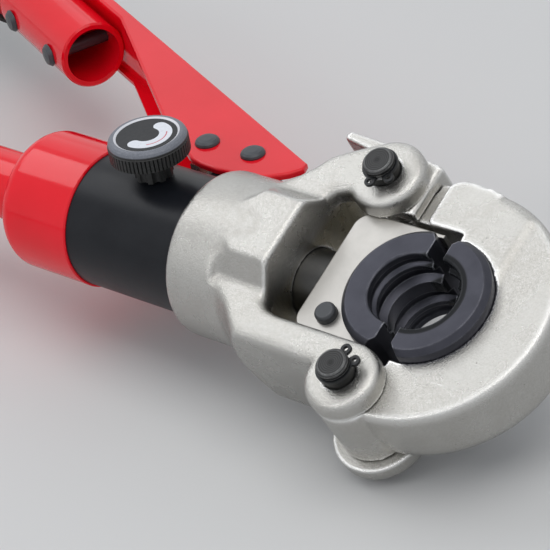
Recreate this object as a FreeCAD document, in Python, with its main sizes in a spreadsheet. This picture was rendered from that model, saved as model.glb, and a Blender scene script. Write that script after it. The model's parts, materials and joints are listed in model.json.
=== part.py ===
import FreeCAD, Part
import Sketcher
import math
import os
import re

# Hand-operated hydraulic press tool for pipe fittings.
# Row frame: origin at the centre of the fixed half-die's bore, +X along the tool towards the nose of
# the head, +Z square to the plane that both handles lie in, +Y towards the moving handle.
# The head is turned about +X on its swivel, so its pieces share one tilted frame (see in_head).

doc = FreeCAD.newDocument("PipePressTool")
sheet = doc.addObject("Spreadsheet::Sheet", "Dims")

SIZES = [
    # the turn of the head on the cylinder, degrees
    ("head_swivel", 24.4),
    # press dies
    ("die_radius", 25.0),
    ("die_bevel", 2.1),
    ("die_half_length", 19.5),
    ("die_gap", 6.83),
    ("die_mouth_radius", 14.25),
    ("die_groove_radius", 16.2),
    ("die_ridge_radius", 13.6),
    ("die_land_radius", 13.1),
    ("die_land_half", 3.0),
    ("die_split_half", 21.1),
    ("seat_clearance", 0.05),
    # head: jaw and ram block
    ("jaw_half", 13.9),
    ("jaw_radius", 48.2),
    ("jaw_edge", 4.0),
    ("jaw_under_edge", 8.6),
    ("jaw_arm_raise", 1.2),
    ("jaw_ramp_x", 21.0),
    ("jaw_split_x", -1.0),
    ("jaw_arm_rear_x", -18.0),
    ("jaw_arm_inner_y", 28.2),
    ("jaw_arm_outer_y", 49.0),
    ("tongue_half", 8.5),
    ("tongue_rear_x", -29.7),
    ("hook_rear_x", -33.0),
    ("hook_outer_y", 47.4),
    ("notch_floor_y", 43.8),
    ("hook_arc", 12.3),
    ("tooth_arc", 12.6),
    ("tooth_floor_y", 44.2),
    ("latch_front_x", -25.6),
    ("block_rear_x", -46.0),
    ("block_front_x", -8.6),
    ("block_near_y", -24.6),
    ("block_far_y", 26.5),
    ("block_corner", 6.5),
    ("block_edge", 0.8),
    # hinge and latch pins
    ("hinge_x", -9.6),
    ("hinge_y", -39.2),
    ("latch_x", -40.0),
    ("latch_y", 39.5),
    ("latch_ear_radius", 14.6),
    ("hinge_ear_radius", 14.2),
    ("hinge_foot_radius", 17.6),
    ("lug_radius", 13.8),
    ("pin_radius", 6.0),
    ("pin_fit", 0.02),
    ("pin_running_fit", 0.04),
    ("pin_rise", 7.5),
    ("pin_groove_radius", 5.5),
    ("circlip_thickness", 1.2),
    ("circlip_rise", 4.3),
    ("circlip_radius", 6.8),
    ("bush_radius", 7.5),
    # yoke
    ("fork_half", 22.0),
    ("fork_edge", 3.0),
    ("slot_half", 14.1),
    ("slot_radius", 14.7),
    ("window_rear_x", -57.0),
    ("near_arm_outer_y", -38.2),
    ("arm_root_reach", 1.742),
    ("far_root_rise", 7.2161),
    ("far_arm_inner_y", 28.2),
    ("hub_half", 31.0),
    ("hub_edge", 2.0),
    ("collar_radius", 31.6),
    ("collar_rear_x", -102.8),
    ("collar_step_x", -80.3),
    ("collar_front_x", -70.0),
    ("collar_edge", 1.5),
    ("gland_rear_x", -79.0),
    # ram
    ("rod_radius", 13.0),
    ("rod_fit", 0.05),
    ("rod_spigot_radius", 8.0),
    ("rod_spigot_length", 10.0),
    ("piston_front_x", -87.5),
    ("piston_length", 14.0),
    ("piston_radius", 18.95),
    ("bore_radius", 19.0),
    ("bore_end_x", -119.0),
    ("piston_spigot_radius", 9.0),
    ("nut_thickness", 5.0),
    ("nut_flats", 22.0),
    # cylinder
    ("nose_radius", 26.0),
    ("nose_fit", 0.06),
    ("nose_front_x", -79.3),
    ("cylinder_radius", 26.3),
    ("cylinder_rear_x", -168.0),
    ("bladder_spigot", 19.0),
    ("swivel_ring_x", -97.0),
    ("swivel_ring_width", 3.0),
    # red casing and fixed handle
    ("casing_front_x", -157.05),
    ("casing_radius", 27.2),
    ("casing_inner_radius", 25.1),
    ("shoulder_x", -193.5),
    ("shoulder_round", 6.5),
    ("tube_radius", 13.7),
    ("tube_wall", 1.9),
    ("tube_end_x", -436.0),
    ("grip_radius", 16.6),
    ("grip_front_x", -300.0),
    ("finger_pitch", 20.0),
    # release knob
    ("knob_x", -129.4),
    ("knob_radius", 15.2),
    ("knob_top", 44.0),
    ("knob_rim_base", 41.4),
    ("knob_base", 34.8),
    ("knob_label_radius", 11.5),
    ("knob_hub_radius", 7.3),
    ("knob_hub_base", 26.9),
    ("knob_teeth", 62),
    ("stem_radius", 4.0),
    ("stem_fit", 0.03),
    ("valve_seat_z", 4.0),
    # pump and moving handle
    ("fulcrum_x", -116.6),
    ("fulcrum_y", 39.3),
    ("handle_angle", 23.0),
    ("plate_inner", 14.5),
    ("plate_thickness", 2.5),
    ("channel_near", 19.4),
    ("channel_far", -13.0),
    ("channel_lip", 5.0),
    ("channel_end", 215.0),
    ("web_start", 30.0),
    ("fulcrum_pin_radius", 4.0),
    ("link_pin_radius", 3.2),
    ("link_u", 20.1),
    ("link_v", 9.5),
    ("lever_rivet_radius", 3.0),
    ("rivet_radius", 4.85),
    ("rivet_height", 2.2),
    ("plunger_x", -138.8),
    ("plunger_y", 38.4),
    ("plunger_radius", 5.0),
    ("plunger_fit", 0.03),
    ("plunger_bore_end_y", 4.0),
    ("plunger_tip_y", 11.0),
    ("boss_top_y", 27.0),
    ("lever_core_radius", 14.4),
    ("lever_core_start", 148.0),
    ("lever_end", 344.0),
    ("lever_grip_start", 228.0),
    # valves
    ("discharge_y", 7.0),
    ("drill_radius", 1.25),
    ("valve_bore_radius", 3.0),
    ("ball_radius", 2.6),
    # buttons
    ("button_radius", 4.05),
    ("button_height", 3.2),
    ("button_stem_radius", 2.5),
    ("button_sink", 3.0),
    ("button_x", -33.95),
    ("button_y", -16.35),
    ("jaw_button_x", 34.0),
    ("jaw_button_y", 10.0),
]
value = dict(SIZES)
for row, (alias, number) in enumerate(SIZES, start=1):
    sheet.set("A%d" % row, alias)
    sheet.set("B%d" % row, str(number))
    sheet.setAlias("B%d" % row, alias)
doc.recompute()


def bound(text):
    """The expression with every size's name pointing at its cell."""
    def cell(word):
        name = word.group(0)
        return "Dims." + name if name in value else name
    return re.sub(r"[a-z][a-z_0-9]*", cell, str(text))


def body(label):
    made = doc.addObject("PartDesign::Body", label)
    made.Label = label
    return made


def plane(owner, role):
    return [f for f in owner.Origin.OriginFeatures if f.Role == role][0]


def pin_down(sk, geometry, point, axis, text, start):
    index = sk.addConstraint(Sketcher.Constraint("Distance" + axis, -1, 1, geometry, point, start))
    sk.setExpression("Constraints[%d]" % index, bound(text))


def sketch(owner, name, role, loops, offset=None):
    """A sketch of closed outlines: lists of (x, y) corners, or ("circle", x, y, radius)."""
    sk = owner.newObject("Sketcher::SketchObject", name)
    sk.AttachmentSupport = [(plane(owner, role), "")]
    sk.MapMode = "FlatFace"
    if offset is not None:
        sk.setExpression("AttachmentOffset.Base.z", bound(offset))
    for loop in loops:
        first = len(sk.Geometry)
        if loop[0] == "circle":
            sk.addGeometry(Part.Circle(FreeCAD.Vector(1, 1, 0), FreeCAD.Vector(0, 0, 1), 5))
            pin_down(sk, first, 3, "X", loop[1], 1)
            pin_down(sk, first, 3, "Y", loop[2], 1)
            index = sk.addConstraint(Sketcher.Constraint("Radius", first, 5))
            sk.setExpression("Constraints[%d]" % index, bound(loop[3]))
            continue
        count = len(loop)
        spots = [FreeCAD.Vector(10 + 9 * math.cos(2 * math.pi * i / count),
                                10 + 9 * math.sin(2 * math.pi * i / count), 0) for i in range(count)]
        for i in range(count):
            sk.addGeometry(Part.LineSegment(spots[i], spots[(i + 1) % count]))
        for i in range(count):
            follower = first + (i + 1) % count
            sk.addConstraint(Sketcher.Constraint("Coincident", first + i, 2, follower, 1))
        for i, (x, y) in enumerate(loop):
            pin_down(sk, first + i, 1, "X", x, spots[i].x)
            pin_down(sk, first + i, 1, "Y", y, spots[i].y)
    return sk


def pad(owner, name, profile, length, symmetric=True):
    made = owner.newObject("PartDesign::Pad", name)
    made.Profile = profile
    made.SideType = "Symmetric" if symmetric else "One side"
    made.setExpression("Length", bound(length))
    return made


def pocket(owner, name, profile, length=None, symmetric=True, reverse=False):
    """A cut of the given depth, or right through; it must remove something."""
    doc.recompute()
    before = owner.Shape.Volume
    made = owner.newObject("PartDesign::Pocket", name)
    made.Profile = profile
    if length is None:
        made.SideType = "Symmetric"
        made.Type = "ThroughAll"
    else:
        made.SideType = "Symmetric" if symmetric else "One side"
        made.Reversed = reverse
        made.setExpression("Length", bound(length))
    doc.recompute()
    if owner.Shape.Volume > before - 0.01:
        raise RuntimeError("%s in %s cuts nothing" % (name, owner.Label))
    return made


def turned(owner, name, profile, axis):
    made = owner.newObject("PartDesign::Revolution", name)
    made.Profile = profile
    made.ReferenceAxis = (profile, [axis])
    made.Angle = 360
    return made


def turned_x(label, corners):
    """A piece turned about the tool axis from its half section of (x, radius) corners."""
    made = body(label)
    profile = sketch(made, label + "_section", "XY_Plane", [corners])
    turned(made, label + "_turned", profile, "H_Axis")
    return made


def turned_z(label, corners):
    """A piece turned about its own upright axis from its half section of (radius, z) corners."""
    made = body(label)
    profile = sketch(made, label + "_section", "XZ_Plane", [corners])
    turned(made, label + "_turned", profile, "V_Axis")
    return made


def soften(owner, kind, name, size, chosen):
    """Fillet or chamfer the edges that the test picks out."""
    doc.recompute()
    base = owner.Tip
    names = ["Edge%d" % (i + 1) for i, e in enumerate(base.Shape.Edges) if chosen(e)]
    if not names:
        raise RuntimeError("no edge chosen for %s" % name)
    made = owner.newObject("PartDesign::" + kind, name)
    made.Base = (base, names)
    made.setExpression("Radius" if kind == "Fillet" else "Size", bound(size))
    doc.recompute()
    if "Invalid" in made.State or made.Shape.isNull():
        raise RuntimeError("%s in %s can't be made" % (name, owner.Label))
    return made


def at_height(*heights):
    """A test for edges that lie wholly at one of these heights, above or below the middle plane."""
    def chosen(edge):
        box = edge.BoundBox
        return any(abs(abs(box.ZMin) - h) < 0.01 and abs(box.ZMax - box.ZMin) < 0.01 for h in heights)
    return chosen


def rings_at(x, radius=None):
    """A test for round edges about the tool axis at one place along it."""
    def chosen(edge):
        box = edge.BoundBox
        flat = abs(box.XMin - x) < 0.01 and abs(box.XMax - x) < 0.01
        return flat and (radius is None or abs(box.ZMax - radius) < 0.05)
    return chosen


def in_row(piece, x="0", y="0", z="0", axis=(0, 0, 1), angle="0"):
    """Place a piece in the row frame."""
    piece.Placement = FreeCAD.Placement(FreeCAD.Vector(0, 0, 0), FreeCAD.Rotation(FreeCAD.Vector(*axis), 1))
    piece.setExpression("Placement.Base.x", bound(x))
    piece.setExpression("Placement.Base.y", bound(y))
    piece.setExpression("Placement.Base.z", bound(z))
    piece.setExpression("Placement.Rotation.Angle", bound(angle))
    return piece


def in_head(piece, x="0", y="0", z="0"):
    """Place a piece of the head: its own frame is turned about the tool axis by the swivel."""
    turn = "head_swivel * 1 deg"
    return in_row(piece, x, "(%s) * cos(%s) - (%s) * sin(%s)" % (y, turn, z, turn),
                  "(%s) * sin(%s) + (%s) * cos(%s)" % (y, turn, z, turn), (1, 0, 0), "head_swivel")


def on_handle(piece, u="0", v="0", z="0"):
    """Place a piece of the moving handle: u runs back along it from the fulcrum, v towards the tool."""
    turn = "(180 - handle_angle) * 1 deg"
    return in_row(piece, "fulcrum_x + (%s) * cos(%s) - (%s) * sin(%s)" % (u, turn, v, turn),
                  "fulcrum_y + (%s) * sin(%s) + (%s) * cos(%s)" % (u, turn, v, turn), z,
                  (0, 0, 1), "180 - handle_angle")


def rod(name, radius, length, x, y, z, axis):
    """A plain round rod for a drilled hole, with its start point and direction."""
    made = doc.addObject("Part::Cylinder", name)
    made.setExpression("Radius", bound(radius))
    made.setExpression("Height", bound(length))
    turn = FreeCAD.Rotation(FreeCAD.Vector(0, 0, 1), FreeCAD.Vector(*axis))
    made.Placement = FreeCAD.Placement(FreeCAD.Vector(0, 0, 0), turn)
    made.setExpression("Placement.Base.x", bound(x))
    made.setExpression("Placement.Base.y", bound(y))
    made.setExpression("Placement.Base.z", bound(z))
    return made


def merged(name, pieces):
    made = doc.addObject("Part::MultiFuse", name)
    made.Shapes = pieces
    return made


def cut(label, base, tool):
    made = doc.addObject("Part::Cut", label)
    made.Label = label
    made.Base = base
    made.Tool = tool
    return made


nodes = []

# Half-dies. Both are one ring, bevelled at its ends and profiled inside, split across the tool axis.
DIE_SECTION = [
    ("die_land_radius", "-die_land_half"),
    ("die_land_radius", "die_land_half"),
    ("die_groove_radius", "die_land_half + 1.6"),
    ("die_groove_radius", "die_land_half + 6"),
    ("die_ridge_radius", "die_land_half + 7.4"),
    ("die_ridge_radius", "die_land_half + 9.4"),
    ("die_groove_radius - 1", "die_land_half + 10.4"),
    ("die_groove_radius - 1", "die_land_half + 12.6"),
    ("die_mouth_radius", "die_land_half + 13.4"),
    ("die_mouth_radius", "die_half_length - 0.6"),
    ("die_mouth_radius + 0.6", "die_half_length"),
    ("die_radius - die_bevel", "die_half_length"),
    ("die_radius", "die_half_length - die_bevel"),
    ("die_radius", "-die_half_length + die_bevel"),
    ("die_radius - die_bevel", "-die_half_length"),
    ("die_mouth_radius + 0.6", "-die_half_length"),
    ("die_mouth_radius", "-die_half_length + 0.6"),
    ("die_mouth_radius", "-die_land_half - 13.4"),
    ("die_groove_radius - 1", "-die_land_half - 12.6"),
    ("die_groove_radius - 1", "-die_land_half - 10.4"),
    ("die_ridge_radius", "-die_land_half - 9.4"),
    ("die_ridge_radius", "-die_land_half - 7.4"),
    ("die_groove_radius", "-die_land_half - 6"),
    ("die_groove_radius", "-die_land_half - 1.6"),
]


def half_die(label, side, x):
    """Half of the die ring on one side of the split, its two corners cut back at 45 degrees."""
    made = turned_z(label, DIE_SECTION)
    far = "%d * 40" % -side
    split = [("0", "-40"), (far, "-40"), (far, "40"), ("0", "40")]
    pocket(made, label + "_split", sketch(made, label + "_split_plan", "XY_Plane", [split]))
    for end, name in ((1, "far"), (-1, "near")):
        corner = [("0", "%d * die_split_half" % end),
                  ("%d * 4.2" % side, "%d * (die_split_half + 4.2)" % end),
                  ("%d * 4.2" % side, "%d * 30" % end), ("0", "%d * 30" % end)]
        plan = sketch(made, "%s_corner_%s_plan" % (label, name), "XY_Plane", [corner])
        pocket(made, "%s_corner_%s" % (label, name), plan)
    nodes.append(in_head(made, x))


half_die("fixed_die", 1, "0")
half_die("moving_die", -1, "-die_gap")

# Jaw: a C-shaped head, hinged at the near side, with a tongue at the far side that the latch hooks.
jaw = body("jaw")
pad(jaw, "jaw_disc", sketch(jaw, "jaw_disc_plan", "XY_Plane", [("circle", "0", "0", "jaw_radius")]),
    "2 * (jaw_half + jaw_arm_raise)")
soften(jaw, "Fillet", "jaw_rim", "jaw_edge + jaw_arm_raise / 2",
       lambda e: at_height(value["jaw_half"] + value["jaw_arm_raise"])(e) and e.BoundBox.ZMax > 0)
soften(jaw, "Fillet", "jaw_under_rim", "jaw_under_edge + jaw_arm_raise / 2",
       lambda e: at_height(value["jaw_half"] + value["jaw_arm_raise"])(e) and e.BoundBox.ZMax < 0)
behind = [("jaw_split_x", "-60"), ("-60", "-60"), ("-60", "60"), ("jaw_split_x", "60")]
pocket(jaw, "jaw_split", sketch(jaw, "jaw_split_plan", "XY_Plane", [behind]))
arm = [("jaw_split_x - 0.01", "jaw_arm_inner_y"), ("4", "jaw_arm_inner_y + 4"),
       ("4", "jaw_arm_outer_y - 1.2"),
       ("-11", "jaw_arm_outer_y"), ("jaw_arm_rear_x + 3", "jaw_arm_outer_y - 0.6"),
       ("jaw_arm_rear_x", "jaw_arm_outer_y - 3.6"), ("jaw_arm_rear_x", "jaw_arm_inner_y + 1.5"),
       ("jaw_arm_rear_x + 1.5", "jaw_arm_inner_y")]
pad(jaw, "jaw_arm", sketch(jaw, "jaw_arm_plan", "XY_Plane", [arm]), "2 * (jaw_half + jaw_arm_raise)")
soften(jaw, "Fillet", "jaw_arm_edges", "1.2",
       lambda e: at_height(value["jaw_half"] + value["jaw_arm_raise"])(e)
       and e.CenterOfMass.x < value["jaw_arm_rear_x"] + 8
       and e.CenterOfMass.y > value["jaw_arm_inner_y"] + 1)
low_far = [("jaw_ramp_x - 2", "jaw_half + jaw_arm_raise"), ("jaw_ramp_x + 1.4", "jaw_half"),
           ("60", "jaw_half"),
           ("60", "jaw_half + 9"), ("jaw_ramp_x - 2", "jaw_half + 9")]
low_near = [("-60", "jaw_half"), ("60", "jaw_half"), ("60", "jaw_half + 9"), ("-60", "jaw_half + 9")]
for side, name in (("1", "top"), ("-1", "bottom")):
    far_loop = [(x, "%s * (%s)" % (side, z)) for x, z in low_far]
    near_loop = [(x, "%s * (%s)" % (side, z)) for x, z in low_near]
    pocket(jaw, "jaw_step_far_" + name, sketch(jaw, "jaw_step_far_%s_plan" % name, "XZ_Plane", [far_loop]),
           "60", symmetric=False, reverse=False)
    pocket(jaw, "jaw_step_near_" + name, sketch(jaw, "jaw_step_near_%s_plan" % name, "XZ_Plane",
                                                [near_loop]),
           "60", symmetric=False, reverse=True)
pad(jaw, "jaw_lug", sketch(jaw, "jaw_lug_plan", "XY_Plane",
                           [("circle", "hinge_x", "hinge_y", "lug_radius")]),
    "2 * jaw_half")
tongue = [("jaw_arm_rear_x + 2", "jaw_arm_inner_y + 2.6"), ("jaw_arm_rear_x + 2", "hook_outer_y"),
          ("-22", "hook_outer_y + 1"), ("-25.2", "hook_outer_y + 1"), ("-26", "hook_outer_y"),
          ("hook_rear_x", "hook_outer_y"),
          ("hook_rear_x", "latch_y + 2"), ("tongue_rear_x", "latch_y + 2"),
          ("tongue_rear_x", "jaw_arm_inner_y + 2.6")]
pad(jaw, "jaw_tongue", sketch(jaw, "jaw_tongue_plan", "XY_Plane", [tongue]), "2 * tongue_half")
notch = [("-25.2", "notch_floor_y"), ("-25.2", "52")]
for turn in (50, 45, 40, 35, 30):
    notch.append(("latch_x + hook_arc * cos(%d deg)" % turn, "latch_y + hook_arc * sin(%d deg)" % turn))
reach = "notch_floor_y - latch_y"
notch.append(("latch_x + sqrt(hook_arc * hook_arc - (%s) * (%s))" % (reach, reach), "notch_floor_y"))
pocket(jaw, "hook_notch", sketch(jaw, "hook_notch_plan", "XY_Plane", [notch]))
pocket(jaw, "jaw_tongue_relief",
       sketch(jaw, "jaw_tongue_relief_plan", "XY_Plane", [("circle", "latch_x", "latch_y", "8.95")]))
pocket(jaw, "jaw_seat",
       sketch(jaw, "jaw_seat_plan", "XY_Plane", [("circle", "0", "0", "die_radius + seat_clearance")]))
pocket(jaw, "jaw_hinge_bore",
       sketch(jaw, "jaw_hinge_bore_plan", "XY_Plane", [("circle", "hinge_x", "hinge_y", "bush_radius")]))
pocket(jaw, "jaw_button_bore",
       sketch(jaw, "jaw_button_plan", "XY_Plane",
              [("circle", "jaw_button_x", "jaw_button_y", "button_stem_radius + 0.05")], "-jaw_half - 1"),
       "11", symmetric=False, reverse=True)
pocket(jaw, "jaw_button_seat",
       sketch(jaw, "jaw_button_seat_plan", "XY_Plane",
              [("circle", "jaw_button_x", "jaw_button_y", "button_radius + 0.07")], "-jaw_half - 1"),
       "button_sink + 1", symmetric=False, reverse=True)
nodes.append(in_head(jaw))

bush = turned_z("jaw_bushing", [("pin_radius + pin_running_fit", "-jaw_half"), ("bush_radius", "-jaw_half"),
                                ("bush_radius", "jaw_half"), ("pin_radius + pin_running_fit", "jaw_half")])
nodes.append(in_head(bush, "hinge_x", "hinge_y"))

# Ram block: carries the moving half-die and is pushed by the piston rod.
block = body("ram_block")
outline = [("block_front_x", "block_near_y"), ("block_front_x", "block_far_y"),
           ("block_rear_x", "block_far_y"), ("block_rear_x", "block_near_y")]
pad(block, "block_blank", sketch(block, "block_plan", "XY_Plane", [outline]), "2 * jaw_half")
soften(block, "Fillet", "block_corners", "block_corner",
       lambda e: e.BoundBox.ZLength > 20 and abs(e.CenterOfMass.x - value["block_rear_x"]) < 0.1)
soften(block, "Fillet", "block_edges", "block_edge", at_height(value["jaw_half"]))
pocket(block, "block_seat",
       sketch(block, "block_seat_plan", "XY_Plane",
              [("circle", "-die_gap", "0", "die_radius + seat_clearance")]))
socket = [("block_rear_x - 1", "0"), ("block_rear_x + rod_spigot_length", "0"),
          ("block_rear_x + rod_spigot_length", "rod_spigot_radius"),
          ("block_rear_x - 1", "rod_spigot_radius")]
groove = block.newObject("PartDesign::Groove", "block_socket")
groove.Profile = sketch(block, "block_socket_section", "XY_Plane", [socket])
groove.ReferenceAxis = (groove.Profile[0], ["H_Axis"])
groove.Angle = 360
pocket(block, "block_button_bore",
       sketch(block, "block_button_plan", "XY_Plane",
              [("circle", "button_x", "button_y", "button_stem_radius + 0.05")], "jaw_half + 1"),
       "11", symmetric=False)
pocket(block, "block_button_seat",
       sketch(block, "block_button_seat_plan", "XY_Plane",
              [("circle", "button_x", "button_y", "button_radius + 0.07")], "jaw_half + 1"),
       "button_sink + 1", symmetric=False)
nodes.append(in_head(block))

# Yoke: a forked body that turns on the cylinder's nose.
yoke = body("yoke")
NEAR_EDGE = "hinge_y + hinge_ear_radius"
# Where the collar's round meets the fork's face; both arms grow out of the collar there.
ROOT = "sqrt(collar_radius * collar_radius - fork_half * fork_half)"
fork = [("-96", "-(%s) + 5.7" % ROOT), ("-76", "-(%s) + 2.7" % ROOT), ("-57.2", "-30"),
        ("-57.2", "near_arm_outer_y"),
        ("hinge_x", "near_arm_outer_y"),
        ("hinge_x", NEAR_EDGE), ("window_rear_x + 9", NEAR_EDGE), ("window_rear_x + 4", NEAR_EDGE + " + 1"),
        ("window_rear_x + 1.2", NEAR_EDGE + " + 3.2"), ("window_rear_x", NEAR_EDGE + " + 6.4"),
        ("window_rear_x", "far_arm_inner_y - 5.2"), ("window_rear_x + 2", "far_arm_inner_y - 1.6"),
        ("window_rear_x + 6", "far_arm_inner_y"), ("latch_x - 4", "far_arm_inner_y"),
        ("latch_x", "latch_y"),
        ("latch_x - latch_ear_radius * sin(32 deg)", "latch_y + latch_ear_radius * cos(32 deg)"),
        ("latch_x - 18.1", "latch_y + 6.1"), ("latch_x - 25.6", "latch_y + 1.1"),
        ("latch_x - 28.8", "latch_y - 4.1"), ("-73.5", ROOT + " + far_root_rise"),
        ("-80", ROOT + " + far_root_rise - 5.4"), ("-96", ROOT + " - 4.7")]
pad(yoke, "fork_plate", sketch(yoke, "fork_plan", "XY_Plane", [fork]), "2 * fork_half")
for name, x, y in (("hinge", "hinge_x", "hinge_y"), ("latch", "latch_x", "latch_y")):
    pad(yoke, name + "_ear", sketch(yoke, name + "_ear_plan", "XY_Plane",
                                    [("circle", x, y, name + "_ear_radius")]), "2 * fork_half")
reach = "near_arm_outer_y - arm_root_reach"
flare = [("-77", "0"), ("-77", "-collar_radius - 0.2"), ("-71", "-collar_radius - 3"),
         ("window_rear_x", "-sqrt((%s) * (%s) + fork_half * fork_half)" % (reach, reach)),
         ("window_rear_x", "0")]
turned(yoke, "arm_root", sketch(yoke, "arm_root_section", "XY_Plane", [flare]), "H_Axis")
for side, name in (("1", "top"), ("-1", "bottom")):
    above = [("-90", "%s * fork_half" % side), ("-50", "%s * fork_half" % side), ("-50", "%s * 60" % side),
             ("-90", "%s * 60" % side)]
    pocket(yoke, "arm_root_face_" + name, sketch(yoke, "arm_root_face_%s_plan" % name, "XZ_Plane", [above]),
           "120")
beside = [("-90", "near_arm_outer_y"), ("-50", "near_arm_outer_y"), ("-50", "-60"), ("-90", "-60")]
pocket(yoke, "arm_root_side", sketch(yoke, "arm_root_side_plan", "XY_Plane", [beside]))
pad(yoke, "hinge_foot", sketch(yoke, "hinge_foot_plan", "XY_Plane",
                               [("circle", "hinge_x", "hinge_y", "hinge_foot_radius")], "-fork_half"),
    "fork_half - slot_half", symmetric=False)
trim = [("-30", NEAR_EDGE), ("10", NEAR_EDGE), ("10", "0"), ("-30", "0")]
pocket(yoke, "hinge_foot_trim", sketch(yoke, "hinge_foot_trim_plan", "XY_Plane", [trim], "-fork_half"),
       "fork_half - slot_half", symmetric=False, reverse=True)
soften(yoke, "Fillet", "fork_edges", "fork_edge", at_height(value["fork_half"]))
collar = [("collar_rear_x", "0"), ("collar_rear_x", "collar_radius - collar_edge"),
          ("collar_rear_x + collar_edge", "collar_radius"), ("collar_front_x", "collar_radius"),
          ("collar_front_x", "0")]
turned(yoke, "collar", sketch(yoke, "collar_section", "XY_Plane", [collar]), "H_Axis")
hub = [("window_rear_x", "-19"), ("-77", "-19"), ("-75.6", "-11"), ("-80.5", "-4.6"), ("-80.5", "8.4"),
       ("-75.6", "14.8"), ("-77", "22.8"), ("window_rear_x", "22.8")]
pad(yoke, "hub", sketch(yoke, "hub_plan", "XY_Plane", [hub]), "2 * hub_half")
for side, name in (("1", "top"), ("-1", "bottom")):
    shoulders = [("-60", "60"), ("-60", "fork_half"), ("-18.4", "fork_half"), ("-11.2", "hub_half"),
                 ("-11.2", "60")], [("60", "60"), ("60", "fork_half"), ("22.2", "fork_half"),
                                    ("15", "hub_half"), ("15", "60")]
    loops = [[(y, "%s * (%s)" % (side, z)) for y, z in loop] for loop in shoulders]
    pocket(yoke, "hub_shoulders_" + name, sketch(yoke, "hub_shoulders_%s_section" % name, "YZ_Plane", loops,
                                                 "collar_step_x"), "60", symmetric=False, reverse=True)
soften(yoke, "Fillet", "hub_front_edge", "hub_edge",
       lambda e: abs(e.BoundBox.XMin - value["window_rear_x"]) < 0.01
       and abs(e.BoundBox.XMax - value["window_rear_x"]) < 0.01
       and abs(abs(e.CenterOfMass.z) - value["hub_half"]) < 0.01)
core = [("collar_rear_x - 1", "0"), ("gland_rear_x", "0"), ("gland_rear_x", "nose_radius + nose_fit"),
        ("swivel_ring_x + swivel_ring_width", "nose_radius + nose_fit"),
        ("swivel_ring_x + swivel_ring_width", "nose_radius + 1.3"), ("swivel_ring_x", "nose_radius + 1.3"),
        ("swivel_ring_x", "nose_radius + nose_fit"), ("collar_rear_x - 1", "nose_radius + nose_fit")]
bore_cut = yoke.newObject("PartDesign::Groove", "collar_bore")
bore_cut.Profile = sketch(yoke, "collar_bore_section", "XY_Plane", [core])
bore_cut.ReferenceAxis = (bore_cut.Profile[0], ["H_Axis"])
bore_cut.Angle = 360
gland = [("gland_rear_x - 1", "0"), ("window_rear_x + 1", "0"),
         ("window_rear_x + 1", "rod_radius + rod_fit"),
         ("window_rear_x - 7", "rod_radius + rod_fit"), ("window_rear_x - 7", "rod_radius + 2.6"),
         ("window_rear_x - 11", "rod_radius + 2.6"), ("window_rear_x - 11", "rod_radius + rod_fit"),
         ("gland_rear_x - 1", "rod_radius + rod_fit")]
gland_cut = yoke.newObject("PartDesign::Groove", "gland_bore")
gland_cut.Profile = sketch(yoke, "gland_bore_section", "XY_Plane", [gland])
gland_cut.ReferenceAxis = (gland_cut.Profile[0], ["H_Axis"])
gland_cut.Angle = 360
pocket(yoke, "hinge_slot", sketch(yoke, "hinge_slot_plan", "XY_Plane",
                                  [("circle", "hinge_x", "hinge_y", "slot_radius")]), "2 * slot_half")
latch_room = [("window_rear_x + 0.5", "latch_y - 15"), ("window_rear_x + 0.5", "latch_y - 1"),
              ("-66", "latch_y - 1"), ("-66", "80"), ("0", "80"), ("0", "latch_y - 15")]
pocket(yoke, "latch_slot", sketch(yoke, "latch_slot_plan", "XY_Plane", [latch_room]), "2 * slot_half")
window = [("window_rear_x", "block_near_y - 0.7"), ("window_rear_x", "far_arm_inner_y"),
          ("-20", "far_arm_inner_y"), ("-20", "block_near_y - 0.7")]
pocket(yoke, "window", sketch(yoke, "window_plan", "XY_Plane", [window]), "2 * slot_half")
for name, x, y in (("hinge", "hinge_x", "hinge_y"), ("latch", "latch_x", "latch_y")):
    pocket(yoke, name + "_pin_bore", sketch(yoke, name + "_pin_bore_plan", "XY_Plane",
                                            [("circle", x, y, "pin_radius + pin_fit")]))
nodes.append(in_head(yoke))

wiper = turned_x("rod_wiper", [("window_rear_x - 7.1", "rod_radius + 0.08"),
                               ("window_rear_x - 10.9", "rod_radius + 0.08"),
                               ("window_rear_x - 10.9", "rod_radius + 2.5"),
                               ("window_rear_x - 7.1", "rod_radius + 2.5")])
nodes.append(in_head(wiper))

# Hinge pin and latch pin, each kept in by a circlip at both ends.
GROOVE = "fork_half + circlip_rise"
PIN_SECTION = [
    ("0", "-fork_half - pin_rise"), ("pin_radius - 0.8", "-fork_half - pin_rise"),
    ("pin_radius", "-fork_half - pin_rise + 0.8"),
    ("pin_radius", "-(%s) - circlip_thickness / 2 - 0.1" % GROOVE),
    ("pin_groove_radius", "-(%s) - circlip_thickness / 2 - 0.1" % GROOVE),
    ("pin_groove_radius", "-(%s) + circlip_thickness / 2 + 0.1" % GROOVE),
    ("pin_radius", "-(%s) + circlip_thickness / 2 + 0.1" % GROOVE),
    ("pin_radius", "%s - circlip_thickness / 2 - 0.1" % GROOVE),
    ("pin_groove_radius", "%s - circlip_thickness / 2 - 0.1" % GROOVE),
    ("pin_groove_radius", "%s + circlip_thickness / 2 + 0.1" % GROOVE),
    ("pin_radius", "%s + circlip_thickness / 2 + 0.1" % GROOVE),
    ("pin_radius", "fork_half + pin_rise - 0.8"), ("pin_radius - 0.8", "fork_half + pin_rise"),
    ("0", "fork_half + pin_rise"),
]


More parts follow.
